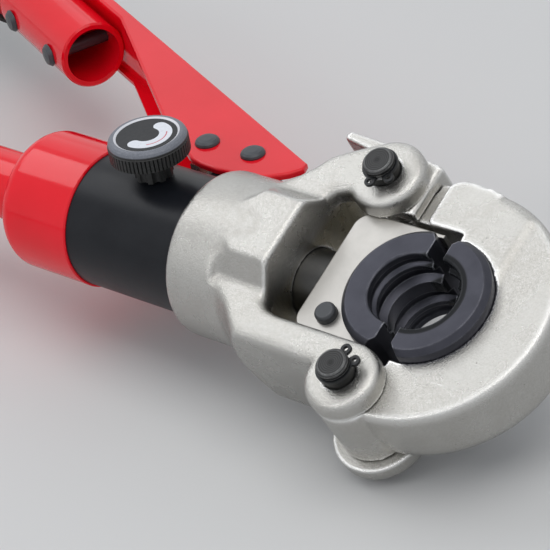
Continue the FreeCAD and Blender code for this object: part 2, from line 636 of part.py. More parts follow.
def circlip(label, x, y, z, turn, spread):
    """An open ring with an eye at each end; the gap faces the given angle in the head's plane."""
    made = body(label)
    angles = ["%s + %s" % (turn, spread), "%s - %s" % (turn, spread)]
    eyes = [("circle", "(circlip_radius + 0.8) * cos((%s) * 1 deg)" % a,
             "(circlip_radius + 0.8) * sin((%s) * 1 deg)" % a, "2") for a in angles]
    ring = [("circle", "0", "0", "circlip_radius")]
    pad(made, label + "_ring", sketch(made, label + "_ring_plan", "XY_Plane", ring), "circlip_thickness")
    for i, eye in enumerate(eyes):
        pad(made, "%s_eye%d" % (label, i), sketch(made, "%s_eye%d_plan" % (label, i), "XY_Plane", [eye]),
            "circlip_thickness")
    pocket(made, label + "_inside", sketch(made, label + "_inside_plan", "XY_Plane",
                                           [("circle", "0", "0", "pin_groove_radius + 0.05")]))
    half = "(%s) * 1 deg" % turn
    gap = [("3 * cos(%s) - 1.1 * sin(%s)" % (half, half), "3 * sin(%s) + 1.1 * cos(%s)" % (half, half)),
           ("12 * cos(%s) - 1.1 * sin(%s)" % (half, half), "12 * sin(%s) + 1.1 * cos(%s)" % (half, half)),
           ("12 * cos(%s) + 1.1 * sin(%s)" % (half, half), "12 * sin(%s) - 1.1 * cos(%s)" % (half, half)),
           ("3 * cos(%s) + 1.1 * sin(%s)" % (half, half), "3 * sin(%s) - 1.1 * cos(%s)" % (half, half))]
    pocket(made, label + "_gap", sketch(made, label + "_gap_plan", "XY_Plane", [gap]))
    for i, eye in enumerate(eyes):
        hole = ("circle", eye[1], eye[2], "0.9")
        pocket(made, "%s_hole%d" % (label, i), sketch(made, "%s_hole%d_plan" % (label, i), "XY_Plane",
                                                      [hole]))
    nodes.append(in_head(made, x, y, z))


for name, x, y, turn, spread in (("hinge", "hinge_x", "hinge_y", 62, 25),
                                 ("latch", "latch_x", "latch_y", -61, 28)):
    pin = turned_z(name + "_pin", PIN_SECTION)
    nodes.append(in_head(pin, x, y))
    circlip(name + "_circlip_top", x, y, GROOVE, turn, spread)
    circlip(name + "_circlip_bottom", x, y, "-(%s)" % GROOVE, turn, spread)

# Latch: two cheeks on the latch pin with a tooth between them that hooks the jaw's tongue, and a lever.
latch = body("latch")
cheek = [("latch_front_x", "30.5"), ("latch_front_x", "52"), ("-38", "53.6"), ("latch_x - 8", "52.4"),
         ("latch_x - 10.5", "46"),
         ("latch_x - 10.5", "latch_y - 4"), ("latch_x - 6", "latch_y - 9"), ("latch_x", "latch_y - 9.6"),
         ("-30", "30")]
pad(latch, "cheeks", sketch(latch, "cheek_plan", "XY_Plane", [cheek]), "2 * jaw_half")
soften(latch, "Chamfer", "latch_front_bevel", "1.4",
       lambda e: at_height(value["jaw_half"])(e) and abs(e.CenterOfMass.x - value["latch_front_x"]) < 0.01)
between = [("latch_x - 12", "24"), ("latch_x - 12", "49.2")]
for turn in (54, 48, 42, 36, 30):
    between.append(("latch_x + tooth_arc * cos(%d deg)" % turn, "latch_y + tooth_arc * sin(%d deg)" % turn))
reach = "tooth_floor_y - latch_y"
between += [("latch_x + sqrt(tooth_arc * tooth_arc - (%s) * (%s))" % (reach, reach), "tooth_floor_y"),
            ("-20", "tooth_floor_y"), ("-20", "24")]
pocket(latch, "tongue_room", sketch(latch, "tongue_room_plan", "XY_Plane", [between]),
       "2 * (tongue_half + 0.3)")
pad(latch, "latch_hub", sketch(latch, "latch_hub_plan", "XY_Plane",
                               [("circle", "latch_x", "latch_y", "8.6")]),
    "2 * jaw_half - 0.4")
lever = [("-78.6", "58.4"), ("-77.2", "60.6"), ("-57", "59.6"), ("-36", "53.5"), ("-44", "45"),
         ("-50.5", "49.4"),
         ("-64", "54.6"), ("-77.6", "56.6")]
pad(latch, "thumb_lever", sketch(latch, "thumb_lever_plan", "XY_Plane", [lever]), "11")
pocket(latch, "spring_room", sketch(latch, "spring_room_plan", "XY_Plane",
                                    [("circle", "latch_x", "latch_y", "8.8")]), "6")
pocket(latch, "latch_bore", sketch(latch, "latch_bore_plan", "XY_Plane",
                                   [("circle", "latch_x", "latch_y", "pin_radius + pin_running_fit")]))
soften(latch, "Fillet", "lever_edges", "1.2",
       lambda e: at_height(5.5)(e) and e.CenterOfMass.x < -60)
nodes.append(in_head(latch))


def coil(label, turns, ring_radius, wire_radius, pitch, place):
    """A close-wound spring drawn as separate rings of wire."""
    rings = []
    for i in range(turns):
        height = (i - (turns - 1) / 2) * pitch
        rings.append(Part.makeTorus(ring_radius, wire_radius, FreeCAD.Vector(0, 0, height)))
    made = doc.addObject("Part::Feature", label)
    made.Label = label
    made.Shape = Part.makeCompound(rings)
    place(made)
    nodes.append(made)


coil("latch_spring", 3, value["pin_radius"] + 1.35, 0.8, 1.7, lambda p: in_head(p, "latch_x", "latch_y"))

# Ram: rod, piston, seals and nut.
rod_section = [("block_rear_x + rod_spigot_length - 0.1", "0"),
               ("block_rear_x + rod_spigot_length - 0.1", "rod_spigot_radius - 0.02"),
               ("block_rear_x", "rod_spigot_radius - 0.02"), ("block_rear_x", "rod_radius - 0.6"),
               ("block_rear_x - 0.6", "rod_radius"), ("piston_front_x", "rod_radius"),
               ("piston_front_x", "piston_spigot_radius"),
               ("piston_front_x - piston_length - nut_thickness - 1", "piston_spigot_radius"),
               ("piston_front_x - piston_length - nut_thickness - 1", "0")]
nodes.append(in_row(turned_x("piston_rod", rod_section)))
piston_section = [("piston_front_x", "piston_spigot_radius + 0.02"), ("piston_front_x", "piston_radius"),
                  ("piston_front_x - 4", "piston_radius"), ("piston_front_x - 4", "piston_radius - 3"),
                  ("piston_front_x - 8", "piston_radius - 3"), ("piston_front_x - 8", "piston_radius"),
                  ("piston_front_x - piston_length", "piston_radius"),
                  ("piston_front_x - piston_length", "piston_spigot_radius + 0.02")]
nodes.append(in_row(turned_x("piston", piston_section)))
seal_section = [("piston_front_x - 4.05", "piston_radius - 2.9"),
                ("piston_front_x - 4.05", "piston_radius + 0.02"),
                ("piston_front_x - 7.95", "piston_radius + 0.02"),
                ("piston_front_x - 7.95", "piston_radius - 2.9")]
nodes.append(in_row(turned_x("piston_seal", seal_section)))

nut = body("piston_nut")
radius = "nut_flats / 2 / cos(30 deg)"
hexagon = [("%s * cos(%d deg)" % (radius, turn), "%s * sin(%d deg)" % (radius, turn))
           for turn in range(30, 390, 60)]
pad(nut, "nut_blank", sketch(nut, "nut_plan", "YZ_Plane", [hexagon]), "nut_thickness")
pocket(nut, "nut_bore", sketch(nut, "nut_bore_plan", "YZ_Plane",
                               [("circle", "0", "0", "piston_spigot_radius + 0.02")]))
nodes.append(in_row(nut, "piston_front_x - piston_length - nut_thickness / 2"))

# Release buttons for the two half-dies.
BUTTON_SECTION = [
    ("0", "-7"), ("button_stem_radius", "-7"), ("button_stem_radius", "-0.5"), ("button_radius", "-0.5"),
    ("button_radius", "button_height - 0.9"), ("button_radius - 0.9", "button_height"),
                  ("0", "button_height"),
]
nodes.append(in_head(turned_z("ram_die_button", BUTTON_SECTION), "button_x", "button_y", "jaw_half + 0.02"))
under = in_row(turned_z("jaw_die_button", BUTTON_SECTION), axis=(1, 0, 0), angle="head_swivel + 180")
turn = "head_swivel * 1 deg"
sunk = "(jaw_half + 0.02)"
for path, text in (("x", "jaw_button_x"),
                   ("y", "jaw_button_y * cos(%s) + %s * sin(%s)" % (turn, sunk, turn)),
                   ("z", "jaw_button_y * sin(%s) - %s * cos(%s)" % (turn, sunk, turn))):
    under.setExpression("Placement.Base." + path, bound(text))
nodes.append(under)

# Cylinder: nose, piston bore, pump boss, fulcrum lug and the drilled oil ways, in one piece of steel.
rear = "cylinder_rear_x - 10"
blank = [("nose_front_x", "0"), ("nose_front_x", "nose_radius - 1"), ("nose_front_x - 1", "nose_radius"),
         ("nose_front_x - 6", "nose_radius"), ("nose_front_x - 6", "nose_radius - 1.9"),
         ("nose_front_x - 9.2", "nose_radius - 1.9"), ("nose_front_x - 9.2", "nose_radius"),
         ("swivel_ring_x + swivel_ring_width", "nose_radius"),
         ("swivel_ring_x + swivel_ring_width", "nose_radius - 1.1"), ("swivel_ring_x", "nose_radius - 1.1"),
         ("swivel_ring_x", "nose_radius"), ("collar_rear_x - 0.5", "nose_radius"),
         ("collar_rear_x - 0.8", "cylinder_radius"), ("casing_front_x + 0.1", "cylinder_radius"),
         ("casing_front_x + 0.1", "casing_inner_radius - 0.05"),
         ("cylinder_rear_x", "casing_inner_radius - 0.05"),
         ("cylinder_rear_x", "bladder_spigot"), (rear, "bladder_spigot"), (rear, "0")]
barrel = turned_x("cylinder_blank", blank)
boss = rod("pump_boss", "10.5", "boss_top_y - 12", "plunger_x", "12", "0", (0, 1, 0))
lug_end = rod("fulcrum_end", "9", "2 * (plate_inner - 0.3)", "fulcrum_x", "fulcrum_y", "-plate_inner + 0.3",
              (0, 0, 1))
lug = doc.addObject("Part::Box", "fulcrum_web")
for name, text in (("Length", "18"), ("Width", "fulcrum_y - 15"), ("Height", "2 * (plate_inner - 0.3)"),
                   ("Placement.Base.x", "fulcrum_x - 9"), ("Placement.Base.y", "15"),
                   ("Placement.Base.z", "-plate_inner + 0.3")):
    lug.setExpression(name, bound(text))
drillings = [
    rod("piston_bore", "bore_radius", "nose_front_x - bore_end_x + 1", "bore_end_x", "0", "0", (1, 0, 0)),
    rod("release_bore", "stem_radius + stem_fit", "40", "knob_x", "0", "valve_seat_z", (0, 0, 1)),
    rod("release_seat", "2", "valve_seat_z + 1", "knob_x", "0", "-1", (0, 0, 1)),
    rod("fulcrum_bore", "fulcrum_pin_radius + pin_running_fit", "40", "fulcrum_x", "fulcrum_y", "-20",
        (0, 0, 1)),
    rod("plunger_bore", "plunger_radius + plunger_fit", "40", "plunger_x", "plunger_bore_end_y", "0",
        (0, 1, 0)),
    rod("gland_seat", "7.5", "20", "plunger_x", "boss_top_y - 8", "0", (0, 1, 0)),
    rod("suction_bore", "valve_bore_radius", "-141 - (%s)" % rear, rear, "12", "0", (1, 0, 0)),
    rod("discharge_bore", "valve_bore_radius", "22", "plunger_x", "discharge_y", "-8", (0, 0, -1)),
    rod("discharge_seat", "1.5", "4.5", "plunger_x", "discharge_y", "-4", (0, 0, -1)),
    rod("pressure_way", "drill_radius", "bore_end_x - plunger_x + 1", "plunger_x", "discharge_y", "-9.6",
        (1, 0, 0)),
    rod("return_way", "drill_radius", "knob_x - (%s)" % rear, rear, "0", "10", (1, 0, 0)),
]
nodes.append(cut("cylinder_body", merged("cylinder_solid", [barrel, boss, lug_end, lug]),
                 merged("drillings", drillings)))

ring_section = [("swivel_ring_x + 0.05", "nose_radius - 1"), ("swivel_ring_x + 0.05", "nose_radius + 1.2"),
                ("swivel_ring_x + swivel_ring_width - 0.05", "nose_radius + 1.2"),
                ("swivel_ring_x + swivel_ring_width - 0.05", "nose_radius - 1")]
nodes.append(in_row(turned_x("swivel_ring", ring_section)))
nose_seal = [("nose_front_x - 6.1", "nose_radius - 1.85"), ("nose_front_x - 6.1", "nose_radius + 0.02"),
             ("nose_front_x - 9.1", "nose_radius + 0.02"), ("nose_front_x - 9.1", "nose_radius - 1.85")]
nodes.append(in_row(turned_x("nose_seal", nose_seal)))

# Pump: gland ring and seal in the boss, check balls and plugs in the drillings.
gland_ring = turned_z("pump_gland", [("plunger_radius + 0.05", "0"), ("7.45", "0"), ("7.45", "5.2"),
                                     ("plunger_radius + 0.05", "5.2")])
nodes.append(in_row(gland_ring, "plunger_x", "boss_top_y", "0", (1, 0, 0), "90"))
pump_seal = turned_z("plunger_seal", [("plunger_radius + 0.02", "5.3"), ("7.45", "5.3"), ("7.45", "7.9"),
                                      ("plunger_radius + 0.02", "7.9")])
nodes.append(in_row(pump_seal, "plunger_x", "boss_top_y", "0", (1, 0, 0), "90"))


def ball(label, x, y, z="0"):
    made = doc.addObject("Part::Sphere", label)
    made.Label = label
    made.setExpression("Radius", bound("ball_radius"))
    nodes.append(in_row(made, x, y, z))


ball("discharge_ball", "plunger_x", "discharge_y", "-8 - sqrt(ball_radius * ball_radius - 2.25) - 0.02")
ball("suction_ball", "cylinder_rear_x + 12 + sqrt(ball_radius * ball_radius - 1.96) + 0.02", "12")
plug = turned_z("discharge_plug", [("0", "3"), ("1.5", "3"), ("1.5", "0"),
                                   ("valve_bore_radius - 0.03", "0"),
                                   ("valve_bore_radius - 0.03", "9"), ("0", "9")])
nodes.append(in_row(plug, "plunger_x", "discharge_y", "-cylinder_radius + 1.6"))
insert = turned_x("suction_seat", [("cylinder_rear_x - 6", "1.4"),
                                   ("cylinder_rear_x - 6", "valve_bore_radius - 0.03"),
                                   ("cylinder_rear_x + 12", "valve_bore_radius - 0.03"),
                                   ("cylinder_rear_x + 12", "1.4")])
nodes.append(in_row(insert, "0", "12"))

# Oil bladder on the cylinder's rear spigot, inside the red casing and the hollow handle.
bag = [("cylinder_rear_x - 1", "bladder_spigot + 0.05"), ("cylinder_rear_x - 1", "21.4"),
       ("shoulder_x + 5.6", "21.4"), ("shoulder_x + 4.2", "18"), ("shoulder_x + 3.8", "9.5"),
       ("shoulder_x - 84", "9.5"), ("shoulder_x - 86", "7.5"), ("shoulder_x - 86", "0"),
       ("shoulder_x - 84", "0"), ("shoulder_x - 84", "7.5"), ("shoulder_x + 5.8", "7.5"),
       ("shoulder_x + 6.2", "16.5"), ("shoulder_x + 7.5", "bladder_spigot + 0.05")]
nodes.append(in_row(turned_x("oil_bladder", bag)))
band = [("cylinder_rear_x - 2", "21.45"), ("cylinder_rear_x - 2", "23"), ("cylinder_rear_x - 7", "23"),
        ("cylinder_rear_x - 7", "21.45")]
nodes.append(in_row(turned_x("bladder_clamp", band)))

# Red casing with its rounded shoulder, and the fixed handle.
casing = [("casing_front_x", "casing_inner_radius"), ("casing_front_x", "casing_radius - 0.5"),
          ("casing_front_x - 0.5", "casing_radius")]
for step in range(13):
    angle = "%g deg" % (step * 90 / 12)
    casing.append(("shoulder_x + shoulder_round - shoulder_round * sin(%s)" % angle,
                   "casing_radius - shoulder_round + shoulder_round * cos(%s)" % angle))
casing += [("shoulder_x", "tube_radius + 1.5"), ("shoulder_x - 0.5", "tube_radius + 0.5"),
           ("shoulder_x - 1.5", "tube_radius + 0.03"), ("shoulder_x + 3", "tube_radius + 0.03"),
           ("shoulder_x + 3", "19.5"), ("shoulder_x + 4.6", "23"),
           ("shoulder_x + 8", "casing_inner_radius")]
nodes.append(in_row(turned_x("reservoir_casing", casing)))
tube = [("shoulder_x + 3", "tube_radius - tube_wall"), ("shoulder_x + 3", "tube_radius"),
        ("tube_end_x", "tube_radius"), ("tube_end_x", "tube_radius - tube_wall")]
nodes.append(in_row(turned_x("handle_tube", tube)))


def grip(label, start, end, place):
    """A rubber sleeve with a closed, rounded end and a few shallow grooves for the fingers."""
    corners = [("%s" % start, "tube_radius + 0.1"), ("%s" % start, "grip_radius - 1.5"),
               ("(%s) + (%s)" % (start, "1.5 * grip_side"), "grip_radius")]
    corners = [(x.replace("grip_side", "-1"), r) for x, r in corners]
    for i in range(5):
        middle = "(%s) - 22 - finger_pitch * %d" % (start, i)
        corners += [("%s + 4" % middle, "grip_radius"), ("%s + 2.5" % middle, "grip_radius - 1"),
                    ("%s - 2.5" % middle, "grip_radius - 1"), ("%s - 4" % middle, "grip_radius")]
    corners += [("(%s) + 4" % end, "grip_radius"), ("(%s) + 1.2" % end, "grip_radius - 1.6"),
                (end, "grip_radius - 5"), (end, "0"), ("(%s) + 3" % end, "0"),
                ("(%s) + 3" % end, "tube_radius + 0.1")]
    nodes.append(place(turned_x(label, corners)))


grip("fixed_grip", "grip_front_x", "tube_end_x - 3.2", in_row)

# Release knob, its plain label disc and the valve stem that it turns.
knob = turned_z("release_knob", [
    ("stem_radius + 0.02", "knob_hub_base"), ("knob_hub_radius", "knob_hub_base"),
    ("knob_hub_radius", "knob_base"), ("knob_radius - 2.4", "knob_base"),
                                 ("knob_radius", "knob_base + 1.4"),
    ("knob_radius", "knob_rim_base"), ("knob_radius - 0.3", "knob_rim_base + 0.2"),
    ("knob_radius - 0.3", "knob_top - 1.5"), ("knob_radius - 0.7", "knob_top - 0.6"),
    ("knob_radius - 1.5", "knob_top + 0.1"), ("knob_radius - 2.2", "knob_top + 0.3"),
    ("knob_label_radius + 0.9", "knob_top + 0.3"), ("knob_label_radius + 0.05", "knob_top - 0.2"),
    ("knob_label_radius + 0.05", "knob_top - 0.8"), ("0", "knob_top - 0.8"), ("0", "knob_top - 4"),
    ("stem_radius + 0.02", "knob_top - 4")])


def around(owner, name, original, count):
    """Repeat a cut evenly about the piece's own upright axis."""
    made = owner.newObject("PartDesign::PolarPattern", name)
    made.Originals = [original]
    made.Axis = (plane(owner, "Z_Axis"), [""])
    made.Angle = 360
    made.Occurrences = count
    owner.Tip = made
    doc.recompute()
    return made


notch = [("knob_radius - 0.65", "0"), ("knob_radius + 1", "-0.75"), ("knob_radius + 1", "0.75")]
tooth = pocket(knob, "knurl_cut", sketch(knob, "knurl_plan", "XY_Plane", [notch], "knob_rim_base"),
               "9", symmetric=False)
around(knob, "knurl", tooth, int(value["knob_teeth"]))
flute = pocket(knob, "flute_cut", sketch(knob, "flute_plan", "XY_Plane",
                                         [("circle", "knob_hub_radius + 0.5", "0", "1.7")], "knob_base"),
               "12", symmetric=False)
around(knob, "flutes", flute, 9)
nodes.append(in_row(knob, "knob_x"))
disc = turned_z("knob_label", [("0", "knob_top - 0.78"), ("knob_label_radius", "knob_top - 0.78"),
                               ("knob_label_radius", "knob_top - 0.1"), ("0", "knob_top - 0.1")])
nodes.append(in_row(disc, "knob_x"))
stem = turned_z("release_stem", [("0", "valve_seat_z - 1.2"), ("1.2", "valve_seat_z - 1.2"),
                                 ("stem_radius", "valve_seat_z + 3.5"), ("stem_radius", "knob_top - 4.1"),
                                 ("0", "knob_top - 4.1")])
nodes.append(in_row(stem, "knob_x"))

# Moving handle: a folded steel channel on the fulcrum, with the lever riveted into its end.
channel = body("handle_bracket")
plate = [("-19.7", "channel_far"), ("-22.7", "channel_far + 3"), ("-21.8", "-4"), ("-17.9", "3.9"),
         ("-9.5", "10.2"),
         ("0.7", "channel_near - 3.7"), ("8.4", "channel_near - 1"), ("14.2", "channel_near"),
         ("16.5", "channel_near - 0.2"), ("52.4", "13.6"), ("71.9", "8.8"),
         ("lever_core_start - 15", "channel_far + 6.7"),
         ("lever_core_start - 8", "channel_far + channel_lip"),
         ("channel_end", "channel_far + channel_lip"), ("channel_end", "channel_far")]
pad(channel, "channel_blank", sketch(channel, "channel_plan", "XY_Plane", [plate]),
    "2 * (plate_inner + plate_thickness)")
soften(channel, "Fillet", "channel_bends", "1.2",
       at_height(value["plate_inner"] + value["plate_thickness"]))
room = [("-40", "-30"), ("-40", "40"), ("channel_end + 1", "40"),
        ("channel_end + 1", "channel_far + plate_thickness"),
        ("web_start", "channel_far + plate_thickness"), ("web_start", "-30")]
pocket(channel, "channel_room", sketch(channel, "channel_room_plan", "XY_Plane", [room]), "2 * plate_inner")
LEVER_V = "channel_far + plate_thickness + lever_core_radius + 0.05"
for name, u, v, size in (("fulcrum", "0", "0", "fulcrum_pin_radius + pin_fit"),
                         ("link", "link_u", "link_v", "link_pin_radius + pin_fit")):
    pocket(channel, name + "_hole", sketch(channel, name + "_hole_plan", "XY_Plane",
                                           [("circle", u, v, size)]))
LEVER_RIVETS = (("front", "lever_core_start + 14"), ("rear", "channel_end - 12"))
for name, u in LEVER_RIVETS:
    pocket(channel, "lever_rivet_hole_" + name,
           sketch(channel, "lever_rivet_hole_%s_plan" % name, "XZ_Plane",
                  [("circle", u, "0", "lever_rivet_radius + pin_fit")]))
nodes.append(on_handle(channel))


def headed_pin(label, shank, u, v):
    """A pin with a domed head on the outside of each plate of the channel."""
    top = "plate_inner + plate_thickness"
    upper = [(shank, top), ("rivet_radius", top), ("rivet_radius", "%s + 0.5" % top),
             ("rivet_radius * 0.93", "%s + rivet_height * 0.55" % top),
             ("rivet_radius * 0.75", "%s + rivet_height * 0.85" % top),
             ("rivet_radius * 0.45", "%s + rivet_height" % top), ("0", "%s + rivet_height" % top)]
    lower = [(r, "-(%s)" % z) for r, z in reversed(upper)]
    nodes.append(on_handle(turned_z(label, lower + upper), u, v))


headed_pin("fulcrum_pin", "fulcrum_pin_radius", "0", "0")
headed_pin("link_pin", "link_pin_radius", "link_u", "link_v")


def across_rivet(label, u):
    """A domed rivet square to the plates, through the web of the channel and the lever."""
    end = "lever_core_radius"
    foot = "-(lever_core_radius + plate_thickness + 0.1)"
    near = [("lever_rivet_radius", end), ("rivet_radius", end), ("rivet_radius", "%s + 0.5" % end),
            ("rivet_radius * 0.75", "%s + rivet_height * 0.85" % end), ("0", "%s + rivet_height" % end)]
    far = [("0", "%s - rivet_height" % foot), ("rivet_radius * 0.75", "%s - rivet_height * 0.85" % foot),
           ("rivet_radius", "%s - 0.5" % foot), ("rivet_radius", foot), ("lever_rivet_radius", foot)]
    made = body(label)
    turned(made, label + "_turned", sketch(made, label + "_section", "XY_Plane", [far + near]), "V_Axis")
    nodes.append(on_handle(made, u, LEVER_V))


for name, u in LEVER_RIVETS:
    across_rivet("lever_rivet_" + name, u)

lever_core = body("handle_lever")
core_section = [("lever_core_start", "tube_radius - tube_wall"),
                ("lever_core_start", "lever_core_radius - 0.8"),
                ("lever_core_start + 0.8", "lever_core_radius"), ("channel_end + 1", "lever_core_radius"),
                ("channel_end + 6", "tube_radius"), ("lever_end", "tube_radius"),
                ("lever_end", "tube_radius - tube_wall")]
turned(lever_core, "lever_turned", sketch(lever_core, "lever_section", "XY_Plane", [core_section]),
       "H_Axis")
for name, u in LEVER_RIVETS:
    pocket(lever_core, "lever_hole_" + name, sketch(lever_core, "lever_hole_%s_plan" % name, "XZ_Plane",
                                                    [("circle", u, "0", "lever_rivet_radius + pin_fit")]))
nodes.append(on_handle(lever_core, "0", LEVER_V))


def on_lever(piece):
    """The moving grip is drawn like the fixed one, running back along -X, and turned round."""
    turn = "(180 - handle_angle) * 1 deg"
    return in_row(piece, "fulcrum_x - (%s) * sin(%s)" % (LEVER_V, turn),
                  "fulcrum_y + (%s) * cos(%s)" % (LEVER_V, turn), "0", (0, 0, 1), "-handle_angle")


grip("moving_grip", "-lever_grip_start", "-lever_end - 3.2", on_lever)

# Pump plunger: a round ram with a slotted head that the link pin drives.
shaft = rod("plunger_shaft", "plunger_radius", "plunger_y - plunger_tip_y", "plunger_x", "plunger_tip_y",
            "0", (0, 1, 0))
head = doc.addObject("Part::Box", "plunger_head")
for name, text in (("Length", "13"), ("Width", "10.5"), ("Height", "18"),
                   ("Placement.Base.x", "plunger_x - 6"),
                   ("Placement.Base.y", "plunger_y - 5.5"), ("Placement.Base.z", "-9")):
    head.setExpression(name, bound(text))
slot_ends = [rod("slot_end_%d" % i, "link_pin_radius + 0.25", "30", "plunger_x + %s" % dx, "plunger_y",
                 "-15", (0, 0, 1))
             for i, dx in enumerate(("(-0.35)", "1.25"))]
slot_mid = doc.addObject("Part::Box", "slot_middle")
for name, text in (("Length", "1.6"), ("Width", "2 * (link_pin_radius + 0.25)"), ("Height", "30"),
                   ("Placement.Base.x", "plunger_x - 0.35"),
                   ("Placement.Base.y", "plunger_y - link_pin_radius - 0.25"),
                   ("Placement.Base.z", "-15")):
    slot_mid.setExpression(name, bound(text))
nodes.append(cut("pump_plunger", merged("plunger_solid", [shaft, head]),
                 merged("plunger_slot", slot_ends + [slot_mid])))

doc.recompute()

faults = []
for made in doc.Objects:
    if "Invalid" in made.State or "Error" in made.State:
        faults.append("%s: %s" % (made.Name, made.getStatusString()))
for node in nodes:
    shape = node.Shape
    if shape.isNull() or not shape.isValid() or not shape.Solids or shape.Volume <= 0:
        faults.append("%s: no valid solid" % node.Label)
if faults:
    raise RuntimeError("\n".join(faults))

os.makedirs("parts", exist_ok=True)
for node in nodes:
    node.Shape.exportStep("parts/%s.step" % node.Label)
print("%d parts" % len(nodes))
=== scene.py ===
import bpy
import bmesh
import json
import math
import numpy as np
from mathutils import Matrix, Vector


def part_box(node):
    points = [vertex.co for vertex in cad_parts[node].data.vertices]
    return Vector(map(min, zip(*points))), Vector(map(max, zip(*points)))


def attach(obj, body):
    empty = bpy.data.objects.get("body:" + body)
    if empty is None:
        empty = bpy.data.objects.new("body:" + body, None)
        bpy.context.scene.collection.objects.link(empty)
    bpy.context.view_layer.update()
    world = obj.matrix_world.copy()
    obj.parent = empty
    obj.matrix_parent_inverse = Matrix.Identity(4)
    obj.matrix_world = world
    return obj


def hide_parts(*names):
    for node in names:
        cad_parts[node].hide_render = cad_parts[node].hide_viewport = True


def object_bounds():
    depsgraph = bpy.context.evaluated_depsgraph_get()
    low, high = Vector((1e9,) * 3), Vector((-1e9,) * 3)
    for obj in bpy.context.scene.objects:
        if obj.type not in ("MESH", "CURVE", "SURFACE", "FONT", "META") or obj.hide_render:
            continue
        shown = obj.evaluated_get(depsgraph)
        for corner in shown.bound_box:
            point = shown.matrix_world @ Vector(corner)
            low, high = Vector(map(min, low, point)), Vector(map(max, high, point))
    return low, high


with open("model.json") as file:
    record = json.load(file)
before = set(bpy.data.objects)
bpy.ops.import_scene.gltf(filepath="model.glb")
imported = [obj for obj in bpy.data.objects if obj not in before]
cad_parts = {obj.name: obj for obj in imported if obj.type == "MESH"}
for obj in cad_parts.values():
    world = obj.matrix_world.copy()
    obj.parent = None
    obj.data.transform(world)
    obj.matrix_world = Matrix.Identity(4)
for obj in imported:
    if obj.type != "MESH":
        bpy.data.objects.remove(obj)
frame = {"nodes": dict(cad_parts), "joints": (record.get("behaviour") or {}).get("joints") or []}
cad_low, cad_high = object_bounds()
scene = bpy.context.scene
scene.view_settings.view_transform = "Standard"

# Places and directions, read from the frame

MM = 0.001
MM_PER_METRE = 1000
JOINTS = {joint["name"]: joint for joint in frame["joints"]}

# The head is turned about +X on the cylinder, and its hinge's axis tells by how much.
HINGE_AXIS = JOINTS["jaw_open"]["axis"]
SWIVEL = math.radians(round(math.degrees(math.atan2(-HINGE_AXIS[1], HINGE_AXIS[2])), 1))
TO_HEAD = Matrix.Rotation(-SWIVEL, 4, "X")
FROM_HEAD = Matrix.Rotation(SWIVEL, 4, "X")


def pin_place(joint):
    """Where a joint's pin stands in the head's own frame, in millimetres."""
    place = TO_HEAD @ Vector(JOINTS[joint]["pos_m"]) * MM_PER_METRE
    return round(place.x, 1), round(place.y, 1)


def in_row_frame(place):
    """A place on the head's middle plane, in millimetres, as a point of the row frame in metres."""
    return FROM_HEAD @ Vector((place[0] * MM, place[1] * MM, 0))


# The pins' x and y in the head's frame, in millimetres.
HINGE_PIN = pin_place("jaw_open")
LATCH_PIN = pin_place("latch_turn")

# The knob's axis and the top of its label, in metres.
KNOB_X = JOINTS["release_turn"]["pos_m"][0]
LABEL_TOP = round(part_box("knob_label")[1].z, 6)


# Materials

# The mix node's sockets: its factor, and the colours, which come after those for numbers and vectors.
MIX_FACTOR = 0
MIX_FIRST = 6
MIX_SECOND = 7
MIX_RESULT = 2

BEVEL_SAMPLES = 6

# A warm grey loses this many times as much blue as it gains red.
WARM_BLUE_LOSS = 1.6


